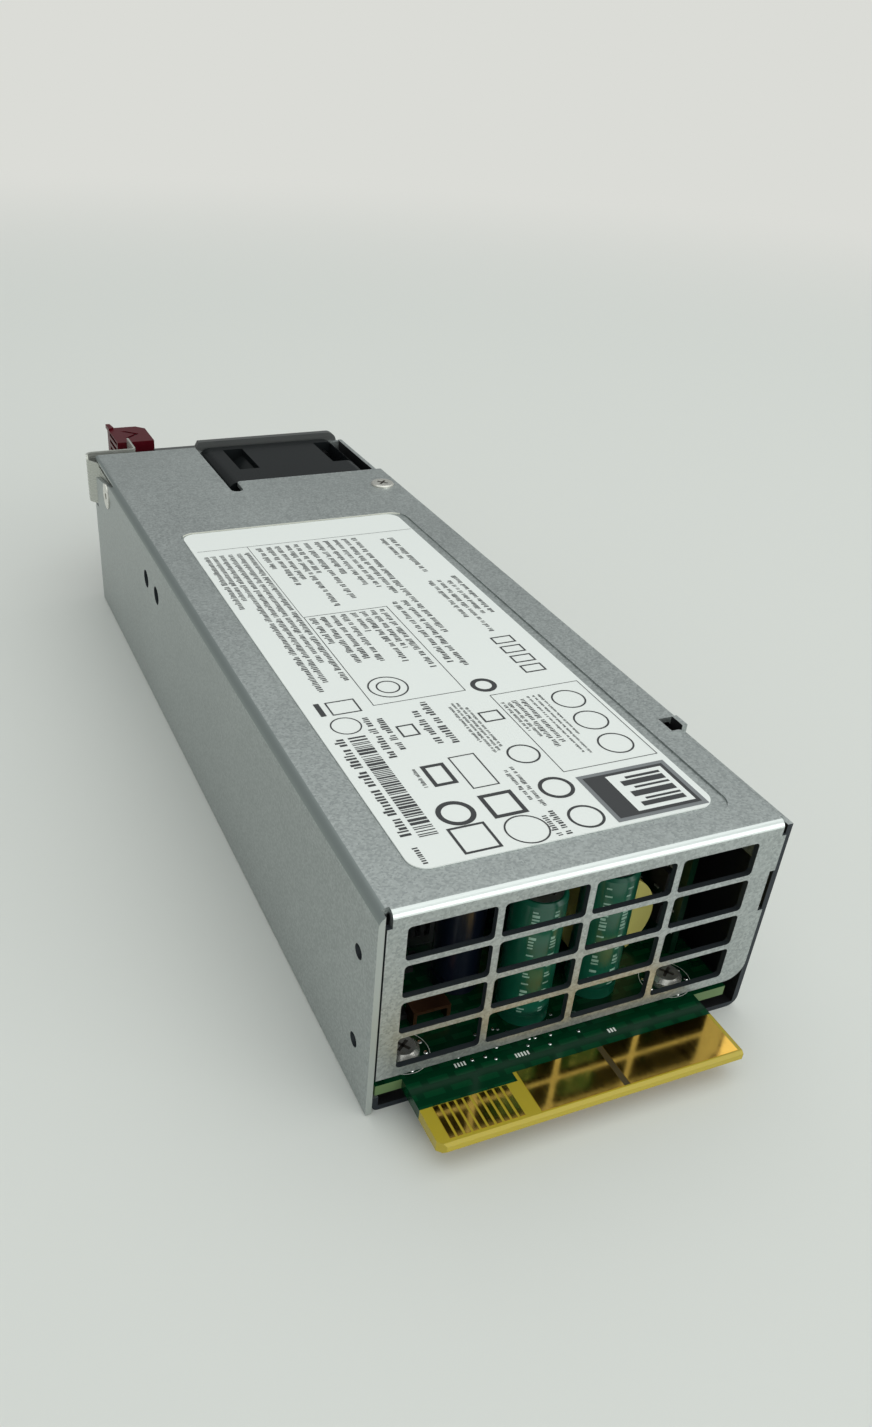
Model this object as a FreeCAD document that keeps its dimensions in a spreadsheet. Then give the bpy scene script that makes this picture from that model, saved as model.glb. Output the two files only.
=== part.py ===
import FreeCAD, Part
import math
import operator
import os

import Sketcher
from FreeCAD import Placement, Rotation, Vector

# Hot swap server power supply.  Millimetres.
# Frame: +Y is the way it slides into its bay (card edge end), -Y is the operator face with the
# fan, +Z is up, +X is the side of the release latch.  The origin is the centre of the case's
# bottom face.

doc = FreeCAD.newDocument("hot_swap_supply")
sheet = doc.addObject("Spreadsheet::Sheet", "sizes")

SIZES = [
    # the two sheet metal shells
    ("case_length", "190.8", "connector face to operator face"),
    ("case_width", "69.0", "outside of the left wall to outside of the right wall"),
    ("case_height", "39.5", "bottom face to top face"),
    ("metal", "1.0", "sheet thickness of both shells"),
    ("bend_radius", "2.0", "outside radius of the long bends"),
    ("face_bend_radius", "1.2", "outside radius of the bend between top and grille face"),
    ("seam", "0.2", "gap left between the shells where they pass each other"),
    ("cover_step", "0.5", "cover ends this far short of the operator face"),
    ("face_seam", "0.3", "gap between the grille face and the walls beside it"),
    ("face_foot", "7.2", "bottom edge of the grille face above the bottom of the case"),
    ("face_corner_radius", "3.5", "round lower corner of the grille face"),
    ("face_notch_depth", "1.0", "notch in the free edge of the grille face"),
    ("face_notch_low", "22.0", "lower end of that notch"),
    ("face_notch_high", "30.0", "upper end of that notch"),
    ("relief_radius", "0.8", "corner relief where two bends meet, half its width"),
    ("relief_depth", "2.6", "corner relief down from the top face"),
    # grille holes
    ("grille_hole_height", "6.17", "one air hole, up"),
    ("grille_bar_width", "1.11", "upright bar between holes"),
    ("grille_bar_height", "0.98", "level bar between holes"),
    ("grille_side_margin", "4.41", "left wall to the first hole"),
    ("grille_free_margin", "6.06", "right wall to the last hole"),
    ("grille_top_margin", "3.01", "top face to the first hole"),
    ("grille_corner_radius", "0.7", "corner radius of a hole"),
    # edge of the cover on the tray side
    ("hook_front", "28.0", "connector face to the hook slot"),
    ("hook_length", "4.0", "length of the hook slot"),
    ("hook_depth", "3.4", "depth of the hook slot from the side"),
    ("hook_tab_length", "3.2", "length of the tray tab standing in that slot"),
    ("hook_tab_rise", "0.4", "tab stands this far over the top face"),
    ("flange_height", "10.0", "turned down flange beside the tray wall"),
    ("flange_front_gap", "2.2", "connector face to the flange"),
    # small holes in the left wall
    ("tab_hole_radius", "1.25", "hole near the connector face"),
    ("tab_hole_setback", "6.0", "connector face to those holes"),
    ("tab_hole_low", "10.6", "height of the lower one"),
    ("tab_hole_high", "28.3", "height of the upper one"),
    ("side_hole_radius", "2.0", "hole further back"),
    ("side_hole_setback", "123.7", "connector face to the nearer one"),
    ("side_hole_pitch", "9.3", "distance to the other one"),
    ("side_hole_rise", "30.2", "height of both"),
    # label
    ("label_width", "51.7", "label, across"),
    ("label_length", "125.5", "label, along the case"),
    ("label_offset", "0.35", "label centre from the centre line"),
    ("label_setback", "7.5", "connector face to the label"),
    ("label_thickness", "0.2", "printed film with its glue"),
    ("label_corner_radius", "3.0", "corner radius of the label"),
    ("recess_depth", "0.3", "pressed recess under the label"),
    ("recess_margin", "0.6", "recess wider than the label, left and back"),
    ("recess_near_margin", "2.0", "recess wider than the label, right and front"),
    # fan
    ("fan_size", "38.0", "side of the square fan frame"),
    ("fan_depth", "26.8", "fan frame along the airflow"),
    ("fan_side_gap", "2.1", "tray wall to the fan"),
    ("fan_lift", "0.2", "tray floor to the fan"),
    ("fan_corner_radius", "3.0", "corner radius of the fan frame"),
    ("fan_bore_radius", "18.1", "air bore of the fan"),
    ("fan_flange", "2.4", "full flange at the operator end"),
    ("fan_pocket_depth", "4.2", "relief pocket beside the barrel"),
    ("fan_pocket_left_in", "7.7", "left pocket, near edge from the fan centre"),
    ("fan_pocket_left_out", "13.0", "left pocket, far edge from the fan centre"),
    ("fan_pocket_right_in", "12.4", "right pocket, near edge from the fan centre"),
    ("fan_pocket_right_out", "17.4", "right pocket, far edge from the fan centre"),
    ("fan_barrel_wall", "0.8", "wall of the barrel round the air bore"),
    ("fan_pocket_front", "8.8", "near end of the frame to the pockets"),
    ("fan_screw_pitch", "31.0", "square pattern of the fan screws"),
    ("fan_base_radius", "10.4", "round motor base"),
    ("fan_base_depth", "2.2", "thickness of the motor base and its struts"),
    ("fan_strut_width", "2.0", "strut that carries the motor base"),
    ("bearing_tube_radius", "3.6", "outside of the bearing tube"),
    ("bearing_radius", "3.0", "outside of the sleeve bearing"),
    ("bearing_length", "11.0", "length of the sleeve bearing"),
    ("shaft_radius", "1.5", "fan shaft"),
    ("shaft_clearance", "0.04", "shaft to bearing, radial"),
    ("stator_radius", "8.4", "coil stack outside"),
    ("stator_length", "9.0", "coil stack along the shaft"),
    ("hub_radius", "10.4", "outside of the impeller hub"),
    ("hub_wall", "1.2", "wall of the hub cup"),
    ("hub_gap", "0.5", "hub to motor base"),
    ("hub_length", "19.0", "impeller hub along the shaft"),
    ("blade_gap", "0.6", "blade tip to bore"),
    ("blade_chord", "17.0", "blade width along its pitch"),
    ("blade_thickness", "1.1", "blade thickness"),
    ("blade_root_pitch", "52.0", "degrees between blade and turning plane at the hub"),
    ("blade_tip_pitch", "36.0", "degrees between blade and turning plane at the tip"),
    ("blade_count", "7", "number of blades"),
    ("notch_gap", "0.7", "fan to the cover notch at its side"),
    ("notch_ahead", "0.2", "fan to the cover notch at its near end"),
    ("notch_relief_width", "3.0", "bend relief slot at the notch corner"),
    ("notch_relief_length", "6.8", "length of that slot"),
    ("notch_corner_radius", "1.2", "corner between the notch and that slot"),
    # operator end of the tray
    ("panel_drop", "1.2", "tray panel ends this far below the top face"),
    ("panel_hole_gap", "0.7", "fan hole in the panel is this much larger than the fan bore"),
    ("screw_slack", "0.4", "radial slack of screws in sheet metal holes"),
    # bezel with its finger guard
    ("bezel_thickness", "1.8", "moulded bezel on the operator face"),
    ("bezel_rise", "1.1", "bezel stands over the top face along the fan"),
    ("bezel_margin", "1.6", "bezel inside the case outline"),
    ("bezel_gap", "0.2", "bezel to the inlet flange and the latch arm"),
    ("bezel_corner_radius", "2.6", "upper corner of the bezel beside the fan"),
    ("bezel_chamfer", "0.7", "step from the raised part of the bezel"),
    ("bezel_reach", "17.8", "bezel reaches this far over the centre line at full height"),
    ("guard_ring_width", "1.1", "moulded finger guard ring"),
    ("guard_ring_pitch", "3.3", "ring to ring"),
    ("guard_first_radius", "5.0", "first ring"),
    ("guard_spoke_width", "1.4", "spoke of the finger guard"),
    ("guard_thickness", "1.3", "thickness of rings and spokes"),
    # fasteners
    ("fan_screw_radius", "1.3", "fan screw shank"),
    ("fan_screw_length", "5.5", "fan screw under its head"),
    ("fan_head_radius", "2.4", "fan screw head"),
    ("fan_head_height", "1.5", "fan screw head"),
    ("cover_screw_side", "4.2", "case side to the cover screw"),
    ("cover_screw_ahead", "11.1", "fan notch to the cover screw"),
    ("cover_screw_radius", "1.45", "cover screw shank"),
    ("cover_screw_length", "4.5", "cover screw under its head"),
    ("cover_head_radius", "2.85", "cover screw head"),
    ("cover_head_height", "0.55", "cover screw head over the cover"),
    ("thread_slack", "0.05", "radial slack drawn between a screw and its tapped hole"),
    ("screw_tab_width", "10.0", "tray tab under the cover screw, along the case"),
    ("screw_tab_reach", "8.2", "tray tab under the cover screw, across"),
    # AC inlet
    ("inlet_centre_up", "15.9", "inlet centre above the bottom face"),
    ("inlet_side_gap", "2.1", "inlet body to the left wall"),
    ("inlet_body_width", "19.6", "inlet body, across"),
    ("inlet_body_height", "27.2", "inlet body, up"),
    ("inlet_flange_width", "21.6", "inlet flange, across"),
    ("inlet_flange_height", "29.4", "inlet flange, up"),
    ("inlet_flange_thickness", "2.4", "inlet flange outside the panel"),
    ("inlet_body_depth", "15.5", "inlet body inside the panel's outer face"),
    ("inlet_cavity_width", "16.6", "plug cavity, across"),
    ("inlet_cavity_height", "24.2", "plug cavity, up"),
    ("inlet_cavity_chamfer", "4.2", "keyed corners of the cavity"),
    ("inlet_back_wall", "2.6", "wall behind the cavity"),
    ("blade_width_ac", "4.0", "inlet contact blade"),
    ("blade_thickness_ac", "2.0", "inlet contact blade"),
    ("blade_pitch_ac", "7.0", "line and neutral from the centre"),
    ("blade_offset_ac", "2.0", "blades off the centre line"),
    ("blade_setback_ac", "3.0", "blade tips behind the flange face"),
    ("blade_tail_ac", "5.0", "solder tails behind the body"),
    ("cutout_slack", "0.15", "panel cut-outs are this much larger all round"),
    # pull handle
    ("handle_width", "3.4", "handle strap, across"),
    ("handle_reach", "25.0", "handle beyond the bezel"),
    ("handle_bar", "4.6", "grip bar thickness"),
    ("handle_arm", "4.2", "arm thickness"),
    ("handle_drop", "3.9", "upper arm at the bezel, below the top face"),
    ("handle_droop", "5.0", "upper arm falls this much to the grip bar"),
    ("handle_bottom", "3.2", "lower arm at the bezel"),
    ("handle_corner_radius", "5.0", "outside corners of the loop"),
    ("handle_inner_radius", "2.4", "inside corners of the loop"),
    ("handle_edge_radius", "0.8", "edges of the loop"),
    ("handle_gap", "0.4", "fan side to handle"),
    ("handle_screw_radius", "0.9", "screw from inside into the handle foot"),
    ("handle_screw_length", "7.0", "its length under the head"),
    ("handle_head_radius", "1.6", "its head"),
    ("handle_head_height", "1.1", "its head"),
    # light pipe
    ("light_radius", "1.5", "status light pipe"),
    ("light_across", "13.2", "status light from the centre line"),
    ("light_length", "9.0", "light pipe length inside the bezel face"),
    ("light_proud", "0.4", "light pipe stands out of the bezel"),
    ("led_lead_radius", "0.3", "lead of the lamp"),
    ("led_lead_pitch", "1.3", "between the leads of the lamp"),
    ("led_lead_setback", "166.0", "connector face to the lamp leads on the main board"),
    ("led_length", "3.0", "lamp behind the light pipe"),
    # release latch
    ("leaf_thickness", "0.5", "latch spring strip"),
    ("leaf_gap", "0.15", "latch spring to the inside of the wall"),
    ("leaf_setback", "172.1", "connector face to the anchored end of the latch spring"),
    ("tooth_start", "187.2", "connector face to the foot of the latch ramp"),
    ("tooth_peak", "190.4", "connector face to the crest of the latch"),
    ("tooth_reach", "1.3", "crest of the latch outside the case"),
    ("tooth_end", "191.2", "connector face to the back of the latch"),
    ("arm_setback", "193.5", "connector face to the arm along the operator face"),
    ("arm_turn", "22.6", "arm turns back here, from the centre line"),
    ("arm_end", "213.5", "connector face to the end of the strip"),
    ("leaf_corner_radius", "0.9", "bends of the strip"),
    ("arm_corner_radius", "2.0", "bend between the crest and the arm"),
    ("leaf_low_drop", "11.9", "lower edge of the latch crest, below the top face"),
    ("leaf_anchor_low_drop", "8.5", "lower edge of the anchored part, below the top face"),
    ("leaf_anchor_high_drop", "2.2", "upper edge of the anchored part, below the top face"),
    ("arm_low_drop", "7.1", "lower edge of the arm, below the top face"),
    ("arm_high_drop", "2.1", "upper edge of the arm inside the tab, below the top face"),
    ("crest_high_drop", "1.2", "upper edge of the latch crest, below the top face"),
    ("leaf_high_drop", "0.1", "upper edge of the arm, below the top face"),
    ("wall_slot_setback", "186.4", "connector face to the latch slot in the left wall"),
    ("wall_slot_low_drop", "12.3", "lower edge of the latch slot, below the top face"),
    ("wall_slope_low_drop", "4.3", "latch slot meets the sloping cut, below the top face"),
    ("wall_slope_start", "168.0", "sloping cut leaves the top face"),
    ("plate_edge", "0.9", "case side to the edge of the top plate over the latch"),
    ("tab_width", "10.0", "release tab, across"),
    ("tab_length", "13.0", "release tab, along the case"),
    ("tab_setback", "202.4", "connector face to the release tab"),
    ("tab_low_drop", "8.6", "underside of the release tab, below the top face"),
    ("tab_high_drop", "1.2", "top of the release tab, below the top face"),
    ("tab_overlap", "2.8", "tab outside the strip"),
    ("tab_chamfer", "2.2", "corner of the tab"),
    ("tab_tooth", "0.8", "grip ridge depth"),
    ("tab_teeth", "4", "grip ridges"),
    ("tab_tip", "0.5", "raised end of the top ridge"),
    ("tab_mark_depth", "0.4", "arrow pressed into the tab"),
    ("tab_mark_width", "1.3", "stroke of the arrow"),
    ("tab_tooth_pitch", "1.8", "grip ridge spacing"),
    ("rivet_radius", "0.9", "latch rivet shank through the strip"),
    ("rivet_head_radius", "1.3", "latch rivet, head on the strip"),
    ("rivet_head_height", "0.35", "latch rivet, head on the strip"),
    ("rivet_neck_radius", "1.4", "latch rivet, neck through the wall"),
    ("rivet_face_radius", "3.1", "latch rivet, flat head on the outside of the wall"),
    ("rivet_face_height", "0.25", "latch rivet, flat head on the outside of the wall"),
    ("rivet_dimple_radius", "0.8", "dimple in the flat head"),
    ("rivet_dimple_depth", "0.9", "dimple in the flat head"),
    ("rivet_slack", "0.2", "strip hole around the rivet"),
    ("rivet_setback", "173.7", "connector face to the latch rivet"),
    ("rivet_drop", "4.8", "latch rivet, below the top face"),
    # main board
    ("board_thickness", "2.0", "main board"),
    ("standoff_height", "2.3", "tray floor to main board"),
    ("board_side_gap", "0.6", "insulated left wall to board"),
    ("board_right_gap", "2.5", "tray wall to board"),
    ("board_front_gap", "0.6", "connector face to the board's shoulders"),
    ("board_end", "160.0", "connector face to the board's end beside the fan"),
    ("board_wing_end", "167.5", "connector face to the board's end behind the inlet"),
    ("board_wing_edge", "8.4", "start of that wing from the centre line"),
    ("tongue_left", "28.5", "card edge, latch side, from the centre line"),
    ("tongue_right", "24.6", "card edge, other side, from the centre line"),
    ("tongue_reach", "12.8", "card edge beyond the connector face"),
    ("tongue_key_chamfer", "1.2", "cut corner of the card edge"),
    ("tongue_bevel", "0.45", "bevel on the card edge tip"),
    ("contact_thickness", "0.05", "plated contact"),
    ("pad_tip_margin", "0.7", "power pads to the tip of the card edge"),
    ("pad_length", "8.1", "power pad along the case"),
    ("pad_one_left", "11.5", "first power pad, from the centre line"),
    ("pad_one_right", "2.8", "first power pad, other side of the centre line"),
    ("pad_gap", "1.1", "between the power pads"),
    ("pad_two_width", "20.0", "second power pad, across"),
    ("finger_count", "10", "signal fingers"),
    ("finger_first", "26.0", "first signal finger from the centre line"),
    ("finger_pitch", "1.27", "finger to finger"),
    ("finger_width", "0.86", "signal finger"),
    ("finger_length", "6.0", "signal finger"),
    ("finger_tip_margin", "1.0", "fingers to the tip of the card edge"),
    # board fixings and insulator
    ("insulator_thickness", "0.4", "insulating film"),
    ("standoff_radius", "2.6", "pressed standoff"),
    ("standoff_bore", "1.3", "tapped bore of a standoff"),
    ("board_screw_radius", "1.25", "board screw shank"),
    ("board_screw_length", "4.0", "board screw under its head"),
    ("board_head_radius", "2.7", "board screw head"),
    ("board_head_height", "1.7", "board screw head"),
    ("board_screw_left", "26.4", "left screws from the centre line"),
    ("board_screw_right", "22.1", "right screws from the centre line"),
    ("board_screw_front", "5.4", "connector face to the front screws"),
    ("board_screw_middle", "72.0", "connector face to the middle screws"),
    ("board_screw_back", "155.0", "connector face to the back screws"),
    ("lining_gap", "0.2", "board and tray flange to the wall film"),
    ("lining_front", "7.0", "connector face to the films"),
    ("lining_end", "160.0", "connector face to the back end of the films"),
    ("lining_top_gap", "2.5", "top plate to the wall film"),
    # standing capacitors at the connector end
    ("can_radius", "4.3", "output capacitor"),
    ("can_height", "25.0", "output capacitor"),
    ("can_one_across", "4.2", "first output capacitor from the centre line"),
    ("can_one_setback", "7.9", "connector face to the first output capacitor"),
    ("can_two_across", "-9.6", "second output capacitor from the centre line"),
    ("can_two_setback", "9.4", "connector face to the second output capacitor"),
    ("filter_radius", "4.0", "filter capacitor"),
    ("filter_height", "21.0", "filter capacitor"),
    ("filter_one_across", "-2.8", "first filter capacitor from the centre line"),
    ("filter_two_across", "11.6", "second filter capacitor from the centre line"),
    ("filter_setback", "17.6", "connector face to the filter capacitors"),
    ("can_groove", "0.5", "crimp groove of a capacitor"),
    ("can_groove_up", "2.2", "crimp groove above the board"),
    # output choke
    ("output_choke_radius", "7.8", "core outside"),
    ("output_choke_hole", "3.4", "core inside"),
    ("output_choke_depth", "6.0", "core thickness"),
    ("output_choke_across", "-14.6", "core from the centre line"),
    ("output_choke_setback", "18.2", "connector face to the core"),
    ("output_choke_wire", "1.2", "wire of its winding"),
    # shunt and control board
    ("shunt_across", "19.5", "current shunt from the centre line"),
    ("shunt_setback", "11.0", "connector face to the shunt"),
    ("shunt_length", "6.5", "shunt, across"),
    ("shunt_width", "3.0", "shunt, along"),
    ("shunt_height", "3.2", "shunt above the board"),
    ("shunt_strip", "0.6", "thickness of its strip"),
    ("control_across", "-26.4", "face of the upright control board from the centre line"),
    ("control_thickness", "1.2", "control board"),
    ("control_setback", "10.5", "connector face to the control board"),
    ("control_length", "44.0", "control board along the case"),
    ("control_height", "28.0", "control board above the main board"),
    ("chip_height", "1.1", "parts on the control board"),
    ("chip_size", "4.0", "parts on the control board"),
    ("chip_pitch", "7.0", "their spacing"),
    # transformer
    ("transformer_across", "-5.3", "transformer from the centre line"),
    ("transformer_setback", "41.0", "connector face to the transformer"),
    ("transformer_width", "31.0", "core, across"),
    ("transformer_depth", "20.0", "core, along"),
    ("transformer_height", "26.0", "core, up"),
    ("transformer_leg", "5.2", "outer legs of the core"),
    ("transformer_post_radius", "5.6", "centre post of the core"),
    ("transformer_plate", "5.0", "top and bottom of the core"),
    ("winding_gap", "0.3", "winding to core"),
    # heat sinks and the transistors on them
    ("sink_across", "17.0", "secondary heat sink from the centre line"),
    ("sink_width", "12.0", "secondary heat sink, across the fins"),
    ("sink_setback", "27.0", "connector face to the secondary heat sink"),
    ("sink_length", "34.0", "secondary heat sink along the case"),
    ("sink_height", "28.0", "heat sinks above the main board"),
    ("sink_plate", "2.0", "heat sink plate"),
    ("fin_thickness", "0.9", "heat sink fin"),
    ("fin_count", "7", "fins"),
    ("primary_sink_across", "-3.6", "primary heat sink plate from the centre line"),
    ("primary_sink_setback", "76.0", "connector face to the primary heat sink"),
    ("primary_sink_length", "44.0", "primary heat sink along the case"),
    ("primary_sink_lip", "7.0", "turned over edge of the primary heat sink"),
    ("transistor_width", "10.2", "transistor body"),
    ("transistor_height", "15.0", "transistor body"),
    ("transistor_thickness", "4.4", "transistor body"),
    ("transistor_up", "5.0", "transistor above the main board"),
    ("transistor_pitch", "14.0", "transistor spacing"),
    ("lead_size", "0.8", "transistor lead"),
    ("lead_pitch", "2.54", "transistor leads"),
    # power factor choke and bulk capacitor
    ("pfc_radius", "12.2", "power factor choke core outside"),
    ("pfc_hole", "6.6", "power factor choke core inside"),
    ("pfc_depth", "11.0", "power factor choke core thickness"),
    ("pfc_across", "16.5", "power factor choke from the centre line"),
    ("pfc_setback", "89.0", "connector face to the power factor choke"),
    ("pfc_wire", "1.3", "wire of its winding"),
    ("bulk_radius", "12.2", "bulk capacitor"),
    ("bulk_length", "42.0", "bulk capacitor"),
    ("bulk_across", "-17.4", "bulk capacitor from the centre line"),
    ("bulk_setback", "107.0", "connector face to the bulk capacitor"),
    ("relay_across", "-17.5", "inrush relay from the centre line"),
    ("relay_setback", "90.0", "connector face to the inrush relay"),
    ("relay_width", "15.5", "inrush relay, across"),
    ("relay_length", "19.0", "inrush relay, along"),
    ("relay_height", "15.5", "inrush relay"),
    # line filter
    ("line_choke_radius", "9.4", "line choke core outside"),
    ("line_choke_hole", "5.0", "line choke core inside"),
    ("line_choke_depth", "7.5", "line choke core thickness"),
    ("line_choke_across", "17.0", "line chokes from the centre line"),
    ("line_choke_setback", "146.0", "connector face to the line choke by the inlet"),
    ("line_choke_pitch", "26.0", "to the other line choke"),
    ("line_choke_wire", "1.0", "wire of their windings"),
    ("film_width", "18.0", "line filter film capacitor, across"),
    ("film_depth", "7.0", "line filter film capacitor, along"),
    ("film_height", "14.0", "line filter film capacitor"),
    ("film_across", "16.0", "film capacitors from the centre line"),
    ("film_setback", "133.0", "connector face to the film capacitor between the chokes"),
    ("film_pitch", "26.5", "to the other film capacitor"),
    ("disc_radius", "4.0", "disc capacitor"),
    ("disc_thickness", "3.4", "disc capacitor"),
    ("disc_across", "17.0", "disc capacitors from the centre line"),
    ("disc_pitch", "9.5", "between the disc capacitors"),
    ("disc_setback", "161.5", "connector face to the disc capacitors"),
    ("fuse_radius", "2.6", "fuse"),
    ("fuse_length", "20.0", "fuse"),
    ("fuse_across", "29.4", "fuse from the centre line"),
    ("fuse_setback", "124.0", "connector face to the fuse"),
    ("fuse_up", "3.4", "fuse above the main board"),
    ("fuse_cap", "5.0", "end cap of the fuse"),
    ("bridge_across", "3.4", "bridge rectifier from the centre line"),
    ("bridge_setback", "128.0", "connector face to the bridge rectifier"),
    ("bridge_width", "4.2", "bridge rectifier thickness"),
    ("bridge_length", "22.0", "bridge rectifier along the case"),
    ("bridge_height", "16.0", "bridge rectifier"),
    ("bridge_up", "3.5", "bridge rectifier above the main board"),
    ("thermistor_radius", "6.0", "inrush thermistor"),
    ("thermistor_thickness", "4.5", "inrush thermistor"),
    ("thermistor_across", "-14.0", "inrush thermistor from the centre line"),
    ("thermistor_setback", "70.0", "connector face to the inrush thermistor"),
    # fan lead
    ("plug_across", "2.5", "fan plug from the centre line"),
    ("plug_setback", "156.5", "connector face to the fan plug"),
    ("plug_width", "10.0", "fan plug, across"),
    ("plug_depth", "4.6", "fan plug, along"),
    ("plug_height", "6.0", "fan plug"),
    ("wire_radius", "1.1", "fan lead sleeve"),
    ("wire_bend", "=wire_radius * 1.1", "bends of the fan lead"),
    # line leads from the inlet to the main board
    ("line_lead_radius", "1.3", "insulated line lead"),
    ("line_lead_bend", "=line_lead_radius * 1.15", "bends of the line leads"),
    ("line_lead_aside", "=line_lead_radius * 2.6", "upper line lead beside the lower one"),
    ("line_lead_setback", "166.0", "connector face to the line leads on the board"),
]

for row, (alias, number, meaning) in enumerate(SIZES, start=1):
    sheet.set("A%d" % row, meaning)
    sheet.set("B%d" % row, number)
    sheet.setAlias("B%d" % row, alias)
doc.recompute()


class Size:
    """A length that knows its number and the sheet formula that gives it."""

    def __init__(self, number, formula):
        self.number = float(number)
        self.formula = formula

    def __float__(self):
        return self.number

    def __neg__(self):
        return combine(0, "-", self)

    def __add__(self, other):
        return combine(self, "+", other)

    def __radd__(self, other):
        return combine(other, "+", self)

    def __sub__(self, other):
        return combine(self, "-", other)

    def __rsub__(self, other):
        return combine(other, "-", self)

    def __mul__(self, other):
        return combine(self, "*", other)

    def __rmul__(self, other):
        return combine(other, "*", self)

    def __truediv__(self, other):
        return combine(self, "/", other)


SIGNS = {"+": operator.add, "-": operator.sub, "*": operator.mul, "/": operator.truediv}


def as_size(length):
    """A Size as it is, or a plain number as a Size."""
    if isinstance(length, Size):
        return length
    return Size(length, "(%r)" % float(length))


def combine(left, sign, right):
    """Two sizes joined by a sign, as number and as formula."""
    left, right = as_size(left), as_size(right)
    number = SIGNS[sign](left.number, right.number)
    return Size(number, "(%s %s %s)" % (left.formula, sign, right.formula))


class SheetSizes:
    """The sheet's sizes by their aliases."""


d = SheetSizes()
for alias, number, meaning in SIZES:
    setattr(d, alias, Size(sheet.get(alias), "sizes." + alias))

CLOSE = 1e-4  # two lengths nearer than this are the same

NODES = []


def node(piece, label):
    """Gives a finished sub-part the label that names its file."""
    piece.Label = label
    NODES.append(piece)
    return piece


def bind(thing, prop, length):
    """Ties a property to the sheet."""
    thing.setExpression(prop, as_size(length).formula)


def point(x, y, z):
    return Vector(float(as_size(x)), float(as_size(y)), float(as_size(z)))


# ---- Part primitives ----------------------------------------------------------------------

TURNS = {"x": Rotation(Vector(0, 1, 0), 90), "y": Rotation(Vector(1, 0, 0), -90), "z": Rotation()}


def place(piece, turn, x, y, z):
    """Puts a primitive's own origin at a point and ties it there."""
    piece.Placement = Placement(point(x, y, z), turn)
    for letter, length in (("x", x), ("y", y), ("z", z)):
        bind(piece, "Placement.Base." + letter, length)
    return piece


def block(name, x, y, z):
    """A rectangular block between two planes along each axis."""
    box = doc.addObject("Part::Box", name)
    bind(box, "Length", x[1] - x[0])
    bind(box, "Width", y[1] - y[0])
    bind(box, "Height", z[1] - z[0])
    return place(box, Rotation(), x[0], y[0], z[0])


def rod(name, axis, start, radius, length):
    """A round bar that runs from a point along +x, +y or +z."""
    cylinder = doc.addObject("Part::Cylinder", name)
    bind(cylinder, "Radius", radius)
    bind(cylinder, "Height", length)
    return place(cylinder, TURNS[axis], *start)


def fuse(name, pieces):
    """Several pieces as one solid."""
    union = doc.addObject("Part::MultiFuse", name)
    union.Shapes = pieces
    union.Refine = True
    return union


def cut(name, base, tools):
    """A piece with others taken out of it."""
    for number, tool in enumerate(tools):
        difference = doc.addObject("Part::Cut", "%s_cut%d" % (name, number))
        difference.Base = base
        difference.Tool = tool
        base = difference
    base.Refine = True
    return base


def group(name, pieces):
    """Identical pieces that stay separate solids of one node."""
    compound = doc.addObject("Part::Compound", name)
    compound.Links = pieces
    return compound


def made(name, shape):
    """A sub-part whose shape is made by Part's own functions."""
    feature = doc.addObject("Part::Feature", name)
    feature.Shape = shape
    return feature


def soften(name, base, radius, test):
    """Rounds those edges of a Part object that pass a test."""
    doc.recompute()
    fillet = doc.addObject("Part::Fillet", name)
    fillet.Base = base
    size = float(as_size(radius))
    chosen = [number for number, edge in enumerate(base.Shape.Edges, start=1) if test(edge)]
    fillet.Edges = [(number, size, size) for number in chosen]
    return fillet


def bevel(name, base, depth, test):
    """Chamfers those edges of a Part object that pass a test."""
    doc.recompute()
    chamfer = doc.addObject("Part::Chamfer", name)
    chamfer.Base = base
    size = float(as_size(depth))
    chosen = [number for number, edge in enumerate(base.Shape.Edges, start=1) if test(edge)]
    chamfer.Edges = [(number, size, size) for number in chosen]
    return chamfer


def sector(name, axis, start, radius, length, angles):
    """Part of a round bar between two angles in degrees."""
    wedge = rod(name, axis, start, radius, length)
    wedge.Angle = angles[1] - angles[0]
    turn = TURNS[axis].multiply(Rotation(Vector(0, 0, 1), angles[0]))
    wedge.Placement = Placement(wedge.Placement.Base, turn)
    return wedge


def path(spots, bends):
    """A line through the spots with its corners rounded to a radius."""
    spots = [point(*spot) for spot in spots]
    if not isinstance(bends, list):
        bends = [bends] * (len(spots) - 2)
    edges = []
    here = spots[0]
    for before, corner, after, bend in zip(spots, spots[1:], spots[2:], bends):
        bend = float(as_size(bend))
        back, ahead = (before - corner).normalize(), (after - corner).normalize()
        half = back.getAngle(ahead) / 2
        setback = bend / math.tan(half)
        first, last = corner + back * setback, corner + ahead * setback
        inward = (back + ahead).normalize()
        middle = corner + inward * (bend / math.sin(half) - bend)
        if (first - here).Length > CLOSE:
            edges.append(Part.makeLine(here, first))
        edges.append(Part.Arc(first, middle, last).toShape())
        here = last
    edges.append(Part.makeLine(here, spots[-1]))
    return Part.Wire(edges)


def swept(line, profile):
    """A profile carried along a line as a solid."""
    return line.makePipeShell([profile], True, False)


def wire_along(spots, wire_radius, bend):
    """A round wire through the spots."""
    line = path(spots, bend)
    start = line.Edges[0]
    heading = start.tangentAt(start.FirstParameter)
    circle = Part.Wire([Part.makeCircle(float(as_size(wire_radius)), point(*spots[0]), heading)])
    return swept(line, circle)



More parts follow.
